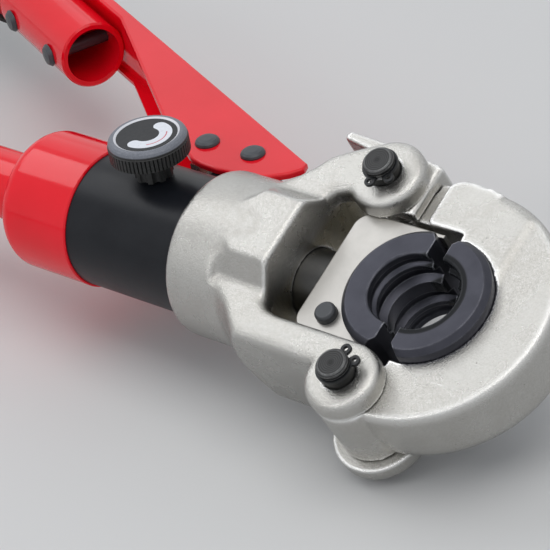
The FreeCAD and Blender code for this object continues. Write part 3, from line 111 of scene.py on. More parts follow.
class Look:
    """A material's node tree, with short ways to add and join nodes."""

    def __init__(self, name):
        self.material = bpy.data.materials.new(name)
        self.material.use_nodes = True
        self.tree = self.material.node_tree
        self.surface = self.tree.nodes["Principled BSDF"]
        self.place = self.add("ShaderNodeTexCoord").outputs["Object"]

    def add(self, kind, **settings):
        """A new node of this kind."""
        node = self.tree.nodes.new(kind)
        for key, entry in settings.items():
            setattr(node, key, entry)
        return node

    def join(self, start, end):
        """A link from an output to an input."""
        self.tree.links.new(start, end)

    def put(self, socket, entry):
        """Join the socket to another one, or write a plain value into it."""
        if isinstance(entry, bpy.types.NodeSocket):
            self.join(entry, socket)
        else:
            socket.default_value = entry

    def noise(self, scale, detail=3.0, roughness=0.5, place=None):
        """Soft patches between 0 and 1, smaller where the scale is larger."""
        node = self.add("ShaderNodeTexNoise")
        self.put(node.inputs["Vector"], place or self.place)
        node.inputs["Scale"].default_value = scale
        node.inputs["Detail"].default_value = detail
        node.inputs["Roughness"].default_value = roughness
        return node.outputs["Fac"]

    def ramp(self, entry, low, high, out_low=0.0, out_high=1.0):
        """out_low up to low, out_high from high on, and an even rise between."""
        node = self.add("ShaderNodeMapRange")
        self.put(node.inputs["Value"], entry)
        limits = {"From Min": low, "From Max": high, "To Min": out_low, "To Max": out_high}
        for key, number in limits.items():
            node.inputs[key].default_value = number
        return node.outputs["Result"]

    def math(self, operation, first, second=0.0):
        """One step of arithmetic on numbers or outputs."""
        node = self.add("ShaderNodeMath", operation=operation)
        self.put(node.inputs[0], first)
        self.put(node.inputs[1], second)
        return node.outputs[0]

    def times(self, first, second):
        """One number or output times another."""
        return self.math("MULTIPLY", first, second)

    def mix(self, factor, first, second):
        """The first colour at 0, the second at 1."""
        node = self.add("ShaderNodeMix", data_type="RGBA")
        self.put(node.inputs[MIX_FACTOR], factor)
        self.put(node.inputs[MIX_FIRST], first)
        self.put(node.inputs[MIX_SECOND], second)
        return node.outputs[MIX_RESULT]

    def tones(self, patches, low, high, first, second):
        """The first colour where the patches are below low, the second where they are above high."""
        return self.mix(self.ramp(patches, low, high), first, second)

    def bump(self, height, distance, strength=1.0, normal=None):
        """The face's normal, or the one given, tilted by a height that reaches the distance in metres."""
        node = self.add("ShaderNodeBump")
        self.put(node.inputs["Height"], height)
        node.inputs["Distance"].default_value = distance
        node.inputs["Strength"].default_value = strength
        if normal is not None:
            self.join(normal, node.inputs["Normal"])
        return node.outputs["Normal"]

    def edges(self, radius, sharp=0.95, soft=0.999):
        """One near convex and concave edges, nothing on flat and gently curved faces."""
        bevel = self.add("ShaderNodeBevel", samples=BEVEL_SAMPLES)
        bevel.inputs["Radius"].default_value = radius
        flat = self.add("ShaderNodeNewGeometry").outputs["Normal"]
        likeness = self.add("ShaderNodeVectorMath", operation="DOT_PRODUCT")
        self.join(bevel.outputs["Normal"], likeness.inputs[0])
        self.join(flat, likeness.inputs[1])
        return self.ramp(likeness.outputs["Value"], soft, sharp)

    def wear(self, radius, scale, low, least):
        """Wear along the edges, which varies between least and full in patches."""
        patches = self.ramp(self.noise(scale, 3), low, 0.6, least, 1.0)
        return self.times(self.edges(radius), patches)

    def fine_grain(self, scale=1500, strength=0.35):
        """A normal with a very fine and shallow grain."""
        return self.bump(self.noise(scale, 2, 0.6), 0.03 * MM, strength)

    def local(self, centre=(0, 0, 0), turn=0.0):
        """Object coordinates about another point, turned about X."""
        node = self.add("ShaderNodeMapping", vector_type="TEXTURE")
        self.join(self.place, node.inputs["Vector"])
        node.inputs["Location"].default_value = centre
        node.inputs["Rotation"].default_value = (turn, 0, 0)
        return node.outputs["Vector"]

    def stretched(self, turn, scale):
        """Object coordinates turned and drawn out, for marks that run one way."""
        node = self.add("ShaderNodeMapping")
        self.join(self.place, node.inputs["Vector"])
        node.inputs["Rotation"].default_value = turn
        node.inputs["Scale"].default_value = scale
        return node.outputs["Vector"]

    def split(self, vector):
        """The vector's outputs X, Y and Z."""
        node = self.add("ShaderNodeSeparateXYZ")
        self.join(vector, node.inputs[0])
        return node.outputs

    def radius(self, vector):
        """Distance from the Z axis."""
        parts = self.split(vector)
        across = self.times(parts["X"], parts["X"])
        along = self.times(parts["Y"], parts["Y"])
        return self.math("SQRT", self.math("ADD", across, along))

    def finish(self, colour, metallic, roughness, normal=None, specular=0.5):
        """The material, with these entries in its surface."""
        inputs = self.surface.inputs
        self.put(inputs["Base Color"], colour)
        self.put(inputs["Metallic"], metallic)
        self.put(inputs["Roughness"], roughness)
        self.put(inputs["Specular IOR Level"], specular)
        if normal is not None:
            self.join(normal, inputs["Normal"])
        return self.material


def grey(level, warm=0.0):
    """A grey of this brightness. A warm one has more red and less blue."""
    return (level * (1 + warm), level, level * (1 - WARM_BLUE_LOSS * warm), 1)


# Nickel plate on the yoke, the jaw and the latch

PLATE_DARK = (0.425, 0.415, 0.39, 1)
PLATE_PALE = (0.48, 0.473, 0.452, 1)
GRAIN_DARK = (0.38, 0.37, 0.35, 1)
GRAIN_PALE = (0.72, 0.715, 0.70, 1)
# A yellow tint for the plate in the window behind the ram block.
WINDOW_YELLOW = (0.50, 0.44, 0.28, 1)
# A painted highlight on the outward edges: its near-white colour and its largest share.
RIM_HIGHLIGHT = (0.98, 0.98, 0.98, 1)
RIM_HIGHLIGHT_SHARE = 0.92

# In the window behind the ram block: where the yellow tint starts and where it is full, in the head's frame.
WINDOW_TINT_HALF_HEIGHT = (16 * MM, 12 * MM)
WINDOW_TINT_SIDES = (("X", -60 * MM, -56 * MM), ("Y", -29 * MM, -27 * MM), ("Y", 34 * MM, 31 * MM))


def window_tint(look):
    """The plate is yellower, in patches, in the window behind the ram block."""
    inside = look.split(look.local(turn=SWIVEL))
    amount = look.ramp(look.math("ABSOLUTE", inside["Z"]), *WINDOW_TINT_HALF_HEIGHT)
    for axis, start, full in WINDOW_TINT_SIDES:
        amount = look.times(amount, look.ramp(inside[axis], start, full))
    return look.times(amount, look.ramp(look.noise(170, 4, 0.6), 0.3, 0.7, 0.45, 0.95))


def painted_rim_highlight(look, width):
    """A painted highlight on outward edges of about this width. Inward corners stay as they are."""
    outward = look.ramp(look.add("ShaderNodeNewGeometry").outputs["Pointiness"], 0.498, 0.515)
    ridge = look.times(look.edges(width, sharp=0.955, soft=0.987), outward)
    return look.times(ridge, RIM_HIGHLIGHT_SHARE)


def dark_pits(look, depth):
    """Small dark pits, in some places only."""
    spots = look.ramp(look.noise(900, 1, 0.4), 0.76, 0.80)
    places = look.ramp(look.noise(60, 2), 0.5, 0.62, 0, depth)
    return look.times(spots, places)


def scratches(look):
    """Faint thin marks that run one way."""
    place = look.stretched((0.4, 0.3, 0.9), (1, 14, 14))
    return look.ramp(look.noise(90, 2, 0.4, place), 0.72, 0.76, 0, 0.12)


# rim is the width of the painted edge highlight.
def forged_nickel(name, pits=0.5, oiled=False, rim=3.2 * MM):
    """Satin nickel plate over blasted steel: warm grey, fine grain, painted rim highlights and a few dark
    pits.
    """
    look = Look(name)
    cloud = look.noise(45, 4, 0.6)
    grain = look.noise(1500, 3, 0.7)
    colour = look.tones(cloud, 0.35, 0.7, PLATE_DARK, PLATE_PALE)
    # The yoke's plate is tinted yellow in the window behind the ram block.
    if oiled:
        colour = look.mix(window_tint(look), colour, WINDOW_YELLOW)
    colour = look.mix(look.ramp(grain, 0.42, 0.66, 0.0, 0.2), colour, GRAIN_PALE)
    colour = look.mix(look.ramp(grain, 0.42, 0.30, 0.0, 0.5), colour, GRAIN_DARK)
    # Painted highlight along the outward edges.
    colour = look.mix(painted_rim_highlight(look, rim), colour, RIM_HIGHLIGHT)
    colour = look.mix(dark_pits(look, pits), colour, grey(0.12, 0.06))
    colour = look.mix(scratches(look), colour, grey(0.9))
    normal = look.bump(grain, 0.19 * MM, 0.95)
    normal = look.bump(look.noise(320, 3), 0.1 * MM, 0.5, normal)
    roughness = look.ramp(cloud, 0.3, 0.75, 0.22, 0.32)
    return look.finish(colour, metallic=0.97, roughness=roughness, normal=normal)


# Machined and blackened steel, and brass

WORN = (0.55, 0.56, 0.59, 1)
DIE_DARK = (0.046, 0.047, 0.060, 1)
DIE_PALE = (0.060, 0.061, 0.077, 1)
DIE_BORE_SHADE = (0.012, 0.013, 0.015, 1)
DIE_WORN = (0.62, 0.63, 0.68, 1)
PIN_LEVEL = 0.014
RING_PITCH = 0.75 * MM

# The radii at which the die's painted bore shade and the pins' centre mark start and are full.
BORE_SHADE_EDGE = (17.2 * MM, 16.4 * MM)
CENTRE_MARK = (1.2 * MM, 0.9 * MM)


def machined(name, level, roughness=0.33, warm=0.02, metallic=0.9, worn=False):
    """A machined or blackened face: nearly even, with its edges rubbed bright if it is worn."""
    look = Look(name)
    cloud = look.noise(120, 3, 0.55)
    colour = look.tones(cloud, 0.3, 0.7, grey(level * 0.9, warm), grey(level * 1.08, warm))
    if worn:
        colour = look.mix(look.wear(radius=0.5 * MM, scale=260, low=0.35, least=0.25), colour, WORN)
    roughness = look.ramp(cloud, 0.3, 0.7, roughness - 0.04, roughness + 0.05)
    return look.finish(colour, metallic, roughness, normal=look.fine_grain())


def die_black(name):
    """Black oxide with painted shade inside the bore, which reflects less there, and thin bright lines on
    the edges.
    """
    # Painted shade: this mask darkens the bore and damps its reflections.
    look = Look(name)
    inside = look.ramp(look.radius(look.local(turn=SWIVEL)), *BORE_SHADE_EDGE)
    cloud = look.noise(120, 3, 0.55)
    colour = look.tones(cloud, 0.3, 0.7, DIE_DARK, DIE_PALE)
    # Painted shade inside the bore.
    colour = look.mix(inside, colour, DIE_BORE_SHADE)
    colour = look.mix(look.wear(radius=0.5 * MM, scale=260, low=0.35, least=0.2), colour, DIE_WORN)
    metallic = look.ramp(inside, 0, 1, 0.7, 0.1)
    specular = look.ramp(inside, 0, 1, 0.35, 0.12)
    roughness = look.times(look.ramp(cloud, 0.3, 0.7, 0.28, 0.36), look.ramp(inside, 0, 1, 1, 0.7))
    return look.finish(colour, metallic, roughness, normal=look.fine_grain(), specular=specular)


def turned_end(name, pin):
    """A black pin whose ends show turning rings and a centre mark, set out from its own axis."""
    look = Look(name)
    radius = look.radius(look.local(in_row_frame(pin), SWIVEL))
    rings = look.math("SINE", look.times(radius, 2 * math.pi / RING_PITCH))
    cloud = look.noise(260, 3, 0.6)
    colour = look.tones(cloud, 0.3, 0.75, grey(PIN_LEVEL), grey(PIN_LEVEL * 1.7))
    colour = look.mix(look.ramp(rings, 0.2, 0.9, 0.0, 0.09), colour, WORN)
    colour = look.mix(look.ramp(radius, *CENTRE_MARK, 0.0, 0.6), colour, grey(PIN_LEVEL * 0.4))
    colour = look.mix(look.wear(radius=0.8 * MM, scale=420, low=0.3, least=0.35), colour, grey(0.6))
    roughness = look.ramp(cloud, 0.3, 0.7, 0.34, 0.46)
    return look.finish(colour, metallic=0.6, roughness=roughness, normal=look.bump(rings, 0.01 * MM, 0.5))


# Paint

RED_DARK = (0.80, 0.003, 0.013, 1)
RED_PALE = (0.88, 0.006, 0.020, 1)
BLACK_DARK = (0.0060, 0.0069, 0.0102, 1)
BLACK_PALE = (0.0096, 0.0108, 0.0144, 1)


def red_paint(name):
    """Thick gloss paint with a slight orange-peel ripple."""
    look = Look(name)
    colour = look.tones(look.noise(30, 3), 0.3, 0.7, RED_DARK, RED_PALE)
    ripple = look.bump(look.noise(520, 2, 0.5), 0.06 * MM, 0.16)
    roughness = look.ramp(look.noise(180, 2), 0.3, 0.7, 0.07, 0.14)
    return look.finish(colour, metallic=0.0, roughness=roughness, normal=ripple, specular=0.33)


def black_paint(name):
    """Satin black with a blue cast."""
    look = Look(name)
    cloud = look.noise(90, 4, 0.6)
    colour = look.tones(cloud, 0.3, 0.7, BLACK_DARK, BLACK_PALE)
    roughness = look.ramp(cloud, 0.3, 0.7, 0.3, 0.38)
    grain = look.fine_grain(scale=1900, strength=0.4)
    return look.finish(colour, metallic=0.1, roughness=roughness, normal=grain, specular=0.25)


# Rubber, plastic and print

# The knob's rim: the same plastic as the sides, painted paler as lit from above.
KNOB_LIT_RIM_DARK = (0.16, 0.17, 0.20, 1)
KNOB_LIT_RIM_PALE = (0.22, 0.23, 0.26, 1)
KNOB_RING = (0.72, 0.72, 0.76, 1)
LABEL_BLACK = (0.016, 0.017, 0.02, 1)
LABEL_WHITE = (0.80, 0.82, 0.88, 1)
LABEL_RED = (0.65, 0.16, 0.2, 1)

# The heights at which the knob's rim, painted paler as lit from above, and its top start and are full, and
# the radii of the bright ring's edge.
KNOB_LIT_RIM_START = (LABEL_TOP - 1.7 * MM, LABEL_TOP - 1.2 * MM)
KNOB_TOP_START = (LABEL_TOP - 0.25 * MM, LABEL_TOP - 0.15 * MM)
KNOB_RING_EDGE = (12.45 * MM, 12.35 * MM)


def rubber(name):
    """Moulded black rubber with a fine speckle."""
    look = Look(name)
    speck = look.noise(1400, 3, 0.7)
    colour = look.tones(speck, 0.4, 0.7, grey(0.022), grey(0.0396))
    normal = look.bump(speck, 0.08 * MM, 0.6)
    roughness = look.ramp(look.noise(60, 2), 0.3, 0.7, 0.62, 0.74)
    return look.finish(colour, metallic=0.0, roughness=roughness, normal=normal, specular=0.25)


def knob_plastic(name):
    """Dark sides, a rounded rim painted paler as lit from above, and a thin bright ring round the label."""
    look = Look(name)
    place = look.local((KNOB_X, 0, 0))
    height = look.split(place)["Z"]
    speck = look.noise(1500, 3, 0.6)
    sides = look.tones(speck, 0.35, 0.7, grey(0.02), grey(0.04))
    # Painted light: the rim is painted paler than the sides, as lit from above.
    rim = look.tones(speck, 0.35, 0.7, KNOB_LIT_RIM_DARK, KNOB_LIT_RIM_PALE)
    colour = look.mix(look.ramp(height, *KNOB_LIT_RIM_START), sides, rim)
    ring = look.times(look.ramp(look.radius(place), *KNOB_RING_EDGE), look.ramp(height, *KNOB_TOP_START))
    colour = look.mix(ring, colour, KNOB_RING)
    normal = look.bump(speck, 0.03 * MM, 0.4)
    roughness = look.ramp(speck, 0.3, 0.7, 0.36, 0.48)
    return look.finish(colour, metallic=0.15, roughness=roughness, normal=normal, specular=0.3)


def plain_print(name, colour, roughness=0.3):
    """An evenly printed colour with a faint speckle."""
    look = Look(name)
    speck = look.noise(900, 3, 0.5)
    shade = tuple(part * 0.93 for part in colour[:3]) + (1,)
    normal = look.bump(speck, 0.01 * MM, 0.3)
    colour = look.tones(speck, 0.3, 0.7, shade, colour)
    roughness = look.ramp(speck, 0.3, 0.7, roughness - 0.03, roughness + 0.05)
    return look.finish(colour, metallic=0.0, roughness=roughness, normal=normal)


# The nodes' finishes

finishes = {}


def paint(nodes, recipe, *settings, **named):
    """Give each of these nodes a material of its own, made by the recipe."""
    for node in nodes:
        finishes[node] = recipe(node, *settings, **named)


paint(["yoke"], forged_nickel, oiled=True)
# The jaw's painted edge highlight is wider.
paint(["jaw"], forged_nickel, pits=0.9, rim=5.5 * MM)
paint(["latch"], forged_nickel)
paint(["fixed_die", "moving_die"], die_black)
paint(["hinge_pin"], turned_end, HINGE_PIN)
paint(["latch_pin"], turned_end, LATCH_PIN)
paint(["ram_block"], machined, 0.455, roughness=0.36, warm=0.03, metallic=0.88)
paint(["jaw_bushing"], machined, 0.42, roughness=0.35, warm=0.18)
paint(["latch_spring"], machined, 0.55, roughness=0.25, warm=0.0)
paint(["piston_rod"], machined, 0.1, roughness=0.3, warm=0.0)
paint(["piston", "bladder_clamp", "release_stem"], machined, 0.5)
paint(["piston_nut"], machined, 0.6, roughness=0.3)
paint(["swivel_ring"], machined, 0.4)
paint(["pump_plunger"], machined, 0.55, roughness=0.25)
paint(["pump_gland", "suction_seat"], machined, 0.45, roughness=0.3, warm=0.2)
paint(["discharge_ball", "suction_ball"], machined, 0.6, roughness=0.15)
paint(["discharge_plug"], machined, 0.04, roughness=0.4, warm=0.0, metallic=0.5, worn=True)
paint(["ram_die_button", "jaw_die_button"], machined, 0.065, roughness=0.45, warm=-0.06, metallic=0.4,
      worn=True)
paint(["hinge_circlip_top", "hinge_circlip_bottom", "latch_circlip_top", "latch_circlip_bottom"],
      machined, 0.022, roughness=0.36, warm=-0.06, metallic=0.5)
paint(["fulcrum_pin", "link_pin", "lever_rivet_front", "lever_rivet_rear"],
      machined, 0.07, roughness=0.42, warm=-0.08, metallic=0.4)
paint(["cylinder_body"], black_paint)
paint(["reservoir_casing", "handle_tube", "handle_bracket", "handle_lever"], red_paint)
paint(["fixed_grip", "moving_grip", "rod_wiper", "nose_seal", "plunger_seal", "piston_seal", "oil_bladder"],
      rubber)
paint(["release_knob"], knob_plastic)
paint(["knob_label"], plain_print, LABEL_BLACK, roughness=0.6)

for name, node in frame["nodes"].items():
    for place in node.material_slots:
        place.material = finishes[name]


# Shapes

def new_object(name, data):
    """An object in the scene for this mesh, lamp or camera."""
    made = bpy.data.objects.new(name, data)
    scene.collection.objects.link(made)
    return made


def stand_for(node, mesh, suffix, body):
    """A piece with the node's finish that stands for it and rides on its body."""
    mesh.materials.clear()
    mesh.materials.append(finishes[node])
    mesh.polygons.foreach_set("use_smooth", [True] * len(mesh.polygons))
    piece = new_object(node + suffix, mesh)
    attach(piece, body)
    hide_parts(node)
    return piece


# Forgings: even squares, smoothed where no other piece is seated

# The share of the way to its neighbours' middle that a free point moves in one round.
RELAX_STEP = 0.5

# Distances in millimetres: the smoothing does nothing below the first and all it can beyond the second.
PIN_SEAT = (6.6, 7.6)
JAW_HINGE_SEAT = (8.0, 9.2)
DIE_SEAT = (25.6, 27.0)
BUTTON_CLEARANCE = (4.8, 6.2)
COLLAR_BORE = (27.0, 28.5)
SPLIT_FACE = (0.3, 1.2)

# In the head's frame: the fork's slot, the front of the collar's bore, the jaw's split face and its tongue.
SLOT_HALF = 15.0
SLOT_REAR = -57.6
SLOT_FREEDOM = 0.12
BORE_FRONT = -75
JAW_SPLIT = -1.0
TONGUE_FRONT = -17.0
TONGUE_FOOT = 30
TONGUE_FREEDOM = 0.4
LATCH_FREEDOM = 0.7

# Where the smoothing round the hub starts and where it is full, in the head's frame and in millimetres.
HUB_REAR = (-86.0, -82.0)
HUB_FRONT = (-70.0, -74.0)
HUB_RISE = (19.0, 22.0)
HUB_HINGE_SIDE = (-5.0, -9.0)
HUB_LATCH_SIDE = (9.0, 13.0)
HUB_ROUNDS = 9

# The fixed die's button sits in a round seat in the jaw's underside. The points that move to clear it lie
# less than the seat's depth from that face, between the stem's hole and the seat's new radius.
JAW_BUTTON = (34.0, 10.0)
JAW_HALF = 13.9
SEAT_DEPTH = 2.6
SEAT_HOLE = 3.0
SEAT_RADIUS = 4.4


def points_of(mesh):
    """The mesh's points, as rows of x, y and z in metres."""
    points = np.empty(len(mesh.vertices) * 3)
    mesh.vertices.foreach_get("co", points)
    return points.reshape(-1, 3)


def move_points(mesh, points):
    """Put the mesh's points at these places."""
    mesh.vertices.foreach_set("co", points.ravel())
    mesh.update()


def remeshed(node, size):
    """The node's shape as even squares, in the head's frame."""
    copy = frame["nodes"][node].data.copy()
    copy.transform(TO_HEAD)
    work = new_object(node + "_work", copy)
    change = work.modifiers.new("squares", "REMESH")
    change.mode = "VOXEL"
    change.voxel_size = size
    even = bpy.data.meshes.new_from_object(work.evaluated_get(bpy.context.evaluated_depsgraph_get()))
    bpy.data.objects.remove(work)
    bpy.data.meshes.remove(copy)
    return even


def relax(mesh, rounds, freedom):
    """Smooth the points towards their neighbours' middle; freedom(points) is 0 where they stay."""
    points = points_of(mesh)
    links = np.empty(len(mesh.edges) * 2, dtype=np.int64)
    mesh.edges.foreach_get("vertices", links)
    links = links.reshape(-1, 2)
    count = np.bincount(links.ravel(), minlength=len(points)).astype(float)
    weight = (RELAX_STEP * freedom(points * MM_PER_METRE))[:, None]
    for _ in range(rounds):
        total = np.empty_like(points)
        for axis in range(3):
            total[:, axis] = np.bincount(links[:, 0], points[links[:, 1], axis], len(points))
            total[:, axis] += np.bincount(links[:, 1], points[links[:, 0], axis], len(points))
        points = points + weight * (total / count[:, None] - points)
    move_points(mesh, points)


def ease(distance, start, end):
    """Nothing up to start, one from end on, and an even rise between."""
    return np.clip((distance - start) / (end - start), 0, 1)


def off_axis(points, place):
    """Distance from an axis that stands at this place in the head's frame."""
    return np.hypot(points[:, 0] - place[0], points[:, 1] - place[1])


def yoke_freedom(points):
    """All but the pins' seats and the collar's bore, and little in the fork's slot."""
    x, y, z = points.T
    free = ease(off_axis(points, HINGE_PIN), *PIN_SEAT) * ease(off_axis(points, LATCH_PIN), *PIN_SEAT)
    free *= ease(np.hypot(y, z), *COLLAR_BORE) * (x < BORE_FRONT) + (x >= BORE_FRONT)
    free[(np.abs(z) < SLOT_HALF) & (x > SLOT_REAR)] = SLOT_FREEDOM
    return free


def jaw_freedom(points):
    """All but the die's seat, the hinge's, the split face and the button's seat, and less on the tongue."""
    x, y, z = points.T
    free = ease(off_axis(points, (0, 0)), *DIE_SEAT) * ease(off_axis(points, HINGE_PIN), *JAW_HINGE_SEAT)
    free *= ease(np.abs(x - JAW_SPLIT), *SPLIT_FACE)
    free *= ease(off_axis(points, JAW_BUTTON), *BUTTON_CLEARANCE) * (z < 0) + (z >= 0)
    free[(x < TONGUE_FRONT) & (y > TONGUE_FOOT)] *= TONGUE_FREEDOM
    return free


def latch_freedom(points):
    """The same everywhere, and nothing on the pin's seat."""
    return ease(off_axis(points, LATCH_PIN), *PIN_SEAT) * LATCH_FREEDOM


def hub_flow(points):
    """Where the block on top and underneath runs out into the round collar."""
    x, y, z = points.T
    free = ease(x, *HUB_REAR) * ease(x, *HUB_FRONT) * ease(np.abs(z), *HUB_RISE)
    return free * np.maximum(ease(y, *HUB_HINGE_SIDE), ease(y, *HUB_LATCH_SIDE))


def soften_hub(mesh):
    """Blend the hub's block into the collar."""
    relax(mesh, HUB_ROUNDS, hub_flow)


def open_seat(mesh):
    """Keep the seat's wall clear of the button, whose travel leaves no room for the even squares."""
    points = points_of(mesh)
    away = points[:, :2] * MM_PER_METRE - JAW_BUTTON
    radius = np.hypot(away[:, 0], away[:, 1])
    low = points[:, 2] * MM_PER_METRE < SEAT_DEPTH - JAW_HALF
    wall = low & (radius > SEAT_HOLE) & (radius < SEAT_RADIUS)
    points[wall, :2] += away[wall] * (SEAT_RADIUS / radius[wall] - 1)[:, None] * MM
    move_points(mesh, points)


def forging(node, body, size, rounds, freedom, last_touch=None):
    """Stand a softened copy for the node, made of squares of this size in millimetres."""
    shape = remeshed(node, size * MM)
    relax(shape, rounds, freedom)
    if last_touch is not None:
        last_touch(shape)
    shape.transform(FROM_HEAD)
    stand_for(node, shape, "_forging", body)


forging("yoke", "head", size=0.62, rounds=14, freedom=yoke_freedom, last_touch=soften_hub)
forging("jaw", "jaw_head", size=0.6, rounds=10, freedom=jaw_freedom, last_touch=open_seat)
forging("latch", "latch_lever", size=0.45, rounds=8, freedom=latch_freedom)


# Machined pieces: their sharp edges rounded off

# Points closer than this in metres and faces flatter than this are joined, and edges over SHARP rounded.
SAME_POINT = 1e-6
SAME_PLANE = math.radians(0.5)
SHARP = math.radians(28)


def bevelled(node, body, width):
    """Stand a copy for the node whose sharp edges are rounded by this width in millimetres."""
    work = bmesh.new()
    work.from_mesh(frame["nodes"][node].data)
    bmesh.ops.remove_doubles(work, verts=work.verts, dist=SAME_POINT)
    bmesh.ops.dissolve_limit(work, angle_limit=SAME_PLANE, verts=work.verts, edges=work.edges)
    sharp = [edge for edge in work.edges if len(edge.link_faces) == 2 and edge.calc_face_angle(0) > SHARP]
    bmesh.ops.bevel(work, geom=sharp, offset=width * MM, segments=2, profile=0.5, affect="EDGES",
                    clamp_overlap=True, offset_type="OFFSET")
    mesh = bpy.data.meshes.new(node + "_bevelled")
    work.to_mesh(mesh)
    work.free()
    piece = stand_for(node, mesh, "_bevelled", body)
    piece.modifiers.new("flat_faces", "WEIGHTED_NORMAL")


bevelled("fixed_die", "jaw_head", width=0.35)
bevelled("moving_die", "ram", width=0.35)
bevelled("ram_block", "ram", width=0.3)
for pin in ("hinge_pin", "latch_pin"):
    bevelled(pin, "head", width=0.25)
for circlip in ("hinge_circlip_top", "hinge_circlip_bottom", "latch_circlip_top", "latch_circlip_bottom"):
    bevelled(circlip, "head", width=0.2)
bevelled("ram_die_button", "ram_button", width=0.3)
bevelled("jaw_die_button", "jaw_button", width=0.3)
bevelled("handle_bracket", "pump_handle", width=0.5)


# Knob label: a white band with a thin red arc, raised by a hair's breadth

ARC_STRIPS = 60
CAP_STRIPS = 8

# The last row of a round end takes its width this far along the quarter turn, so that it isn't a point.
CAP_END = 0.98


def band_row(step, radius, half_width, start, end):
    """Three points across the band. Steps below 0 and above ARC_STRIPS make its round ends."""
    along = min(max(step, 0), ARC_STRIPS) / ARC_STRIPS
    past = max(-step, step - ARC_STRIPS, 0) / CAP_STRIPS
    turn = math.radians(start + (end - start) * along)
    push = half_width * math.sin(past * math.pi / 2) * (-1 if step < 0 else 1)
    reach = half_width * math.cos(min(past, CAP_END) * math.pi / 2)
    cosine = math.cos(turn)
    sine = math.sin(turn)
    return [(KNOB_X + out * cosine - push * sine, out * sine + push * cosine)
            for out in (radius - reach, radius, radius + reach)]


def arc_band(name, colour, radius, half_width, start, end, low, high):
    """A flat curved band with round ends on the knob's label, built of strips across it."""
    rows = [band_row(step, radius, half_width, start, end)
            for step in range(-CAP_STRIPS, ARC_STRIPS + CAP_STRIPS + 1)]
    last = len(rows) - 1
    work = bmesh.new()
    bottom, top = [[[work.verts.new((x, y, z)) for x, y in row] for row in rows] for z in (low, high)]
    for row in range(last):
        for side in range(2):
            for layer, turned in ((top, False), (bottom, True)):
                here = layer[row]
                there = layer[row + 1]
                quad = [here[side], here[side + 1], there[side + 1], there[side]]
                work.faces.new(reversed(quad) if turned else quad)
    outer = [(row, 2) for row in range(last + 1)]
    inner = [(row, 0) for row in range(last, -1, -1)]
    rim = [(bottom[row][side], top[row][side]) for row, side in [(0, 1)] + outer + [(last, 1)] + inner]
    for (foot, head), (next_foot, next_head) in zip(rim, rim[1:] + rim[:1]):
        work.faces.new((foot, next_foot, next_head, head))
    mesh = bpy.data.meshes.new(name)
    work.to_mesh(mesh)
    work.free()
    mesh.materials.append(plain_print(name, colour))
    band = new_object(name, mesh)
    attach(band, "knob")


arc_band("label_band", LABEL_WHITE, radius=7.15 * MM, half_width=2.45 * MM, start=-89, end=88,
         low=LABEL_TOP - 0.1 * MM, high=LABEL_TOP + 0.04 * MM)
arc_band("label_arc", LABEL_RED, radius=7.5 * MM, half_width=0.22 * MM, start=-48, end=42,
         low=LABEL_TOP, high=LABEL_TOP + 0.07 * MM)


# Floor

FLOOR_HALF = 5.0
FLOOR_ROWS = 12
FLOOR_GAP = 0.4 * MM


def floor_mesh():
    """A wide square just under the tool's lowest point."""
    count = FLOOR_ROWS + 1
    marks = [-FLOOR_HALF + 2 * FLOOR_HALF * step / FLOOR_ROWS for step in range(count)]
    spots = [(x, y, cad_low[2] - FLOOR_GAP) for y in marks for x in marks]
    corners = [row * count + column for row in range(FLOOR_ROWS) for column in range(FLOOR_ROWS)]
    faces = [(corner, corner + 1, corner + count + 1, corner + count) for corner in corners]
    mesh = bpy.data.meshes.new("floor")
    mesh.from_pydata(spots, [], faces)
    return mesh


def floor_paper(name):
    """Pale matt grey, very slightly uneven."""
    look = Look(name)
    cloud = look.noise(7, 3, 0.5)
    colour = look.mix(cloud, grey(0.66, 0.004), grey(0.69, 0.004))
    return look.finish(colour, metallic=0.0, roughness=look.ramp(cloud, 0.3, 0.7, 0.6, 0.68))


floor = new_object("floor", floor_mesh())
floor.data.materials.append(floor_paper("floor"))


# Light

SKY_COLOUR = (0.91, 0.95, 1.0, 1)
SKY_STRENGTH = 0.55
BACKGROUND = (0.80, 0.81, 0.82, 1)
COOL = (0.9, 0.95, 1.0)
FAINTLY_COOL = (0.96, 0.98, 1.0)
FAINTLY_WARM = (1.0, 0.98, 0.95)
NEUTRAL = (1, 1, 1)


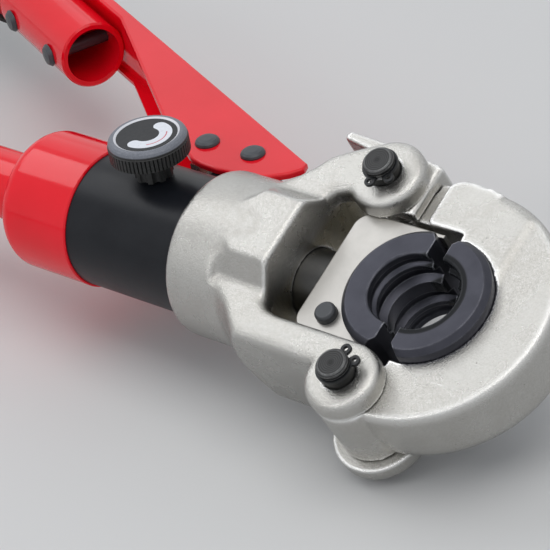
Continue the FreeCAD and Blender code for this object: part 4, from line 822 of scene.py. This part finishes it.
def light_world():
    """A dim sky that lights the object, and a pale background that the camera, metal and glass see."""
    world = bpy.data.worlds.new("studio")
    scene.world = world
    world.use_nodes = True
    tree = world.node_tree
    sky = tree.nodes["Background"]
    sky.inputs["Color"].default_value = SKY_COLOUR
    sky.inputs["Strength"].default_value = SKY_STRENGTH
    seen = tree.nodes.new("ShaderNodeBackground")
    seen.inputs["Color"].default_value = BACKGROUND
    either = tree.nodes.new("ShaderNodeMixShader")
    path = tree.nodes.new("ShaderNodeLightPath")
    shown = path.outputs["Is Camera Ray"]
    for kind in ("Is Glossy Ray", "Is Transmission Ray"):
        larger = tree.nodes.new("ShaderNodeMath")
        larger.operation = "MAXIMUM"
        tree.links.new(shown, larger.inputs[0])
        tree.links.new(path.outputs[kind], larger.inputs[1])
        shown = larger.outputs[0]
    tree.links.new(shown, either.inputs[0])
    tree.links.new(sky.outputs[0], either.inputs[1])
    tree.links.new(seen.outputs[0], either.inputs[2])
    tree.links.new(either.outputs[0], tree.nodes["World Output"].inputs["Surface"])


def area_light(name, place, target, width, depth, power, colour=NEUTRAL):
    """A rectangular lamp at a place, in metres, that faces the target."""
    data = bpy.data.lights.new(name, "AREA")
    data.shape = "RECTANGLE"
    data.size = width
    data.size_y = depth
    data.energy = power
    data.color = colour
    lamp = new_object(name, data)
    lamp.location = place
    lamp.rotation_euler = (Vector(target) - Vector(place)).to_track_quat("-Z", "Y").to_euler()


light_world()
area_light("back_strip", place=(-0.97, 0.0, 0.86), target=(-0.17, 0, 0.03), width=0.72, depth=0.25,
           power=1.5, colour=FAINTLY_COOL)
area_light("back_panel", place=(-0.60, 0.0, 1.10), target=(-0.03, 0, 0.02), width=0.8, depth=0.7, power=1.1)
area_light("far", place=(-0.72, 0.80, 0.72), target=(-0.1, 0.02, 0.0), width=0.8, depth=0.8,
           power=0.7, colour=COOL)
area_light("overhead", place=(0.35, -0.1, 1.3), target=(-0.05, 0, 0), width=1.0, depth=1.0,
           power=4.4, colour=FAINTLY_WARM)
area_light("near", place=(-0.30, -1.0, 0.75), target=(-0.05, 0, 0), width=0.6, depth=0.35, power=1.6)


# Camera: its place, turn and focal length were solved from the tool's round parts

PHOTO_WIDTH = 550
FOCAL_LENGTH_IN_PIXELS = 2923.24
SENSOR_WIDTH = 36
CAMERA_PLACE = Matrix((
    (0.7588, -0.2449, 0.6036, 0.5651),
    (0.6326, 0.4979, -0.5932, -0.6310),
    (-0.1552, 0.8320, 0.5327, 0.5642),
    (0, 0, 0, 1),
))

camera_data = bpy.data.cameras.new("camera")
camera_data.sensor_width = SENSOR_WIDTH
camera_data.lens = FOCAL_LENGTH_IN_PIXELS * SENSOR_WIDTH / PHOTO_WIDTH
camera_data.clip_start = 0.01
camera = new_object("camera", camera_data)
camera.matrix_world = CAMERA_PLACE
scene.camera = camera
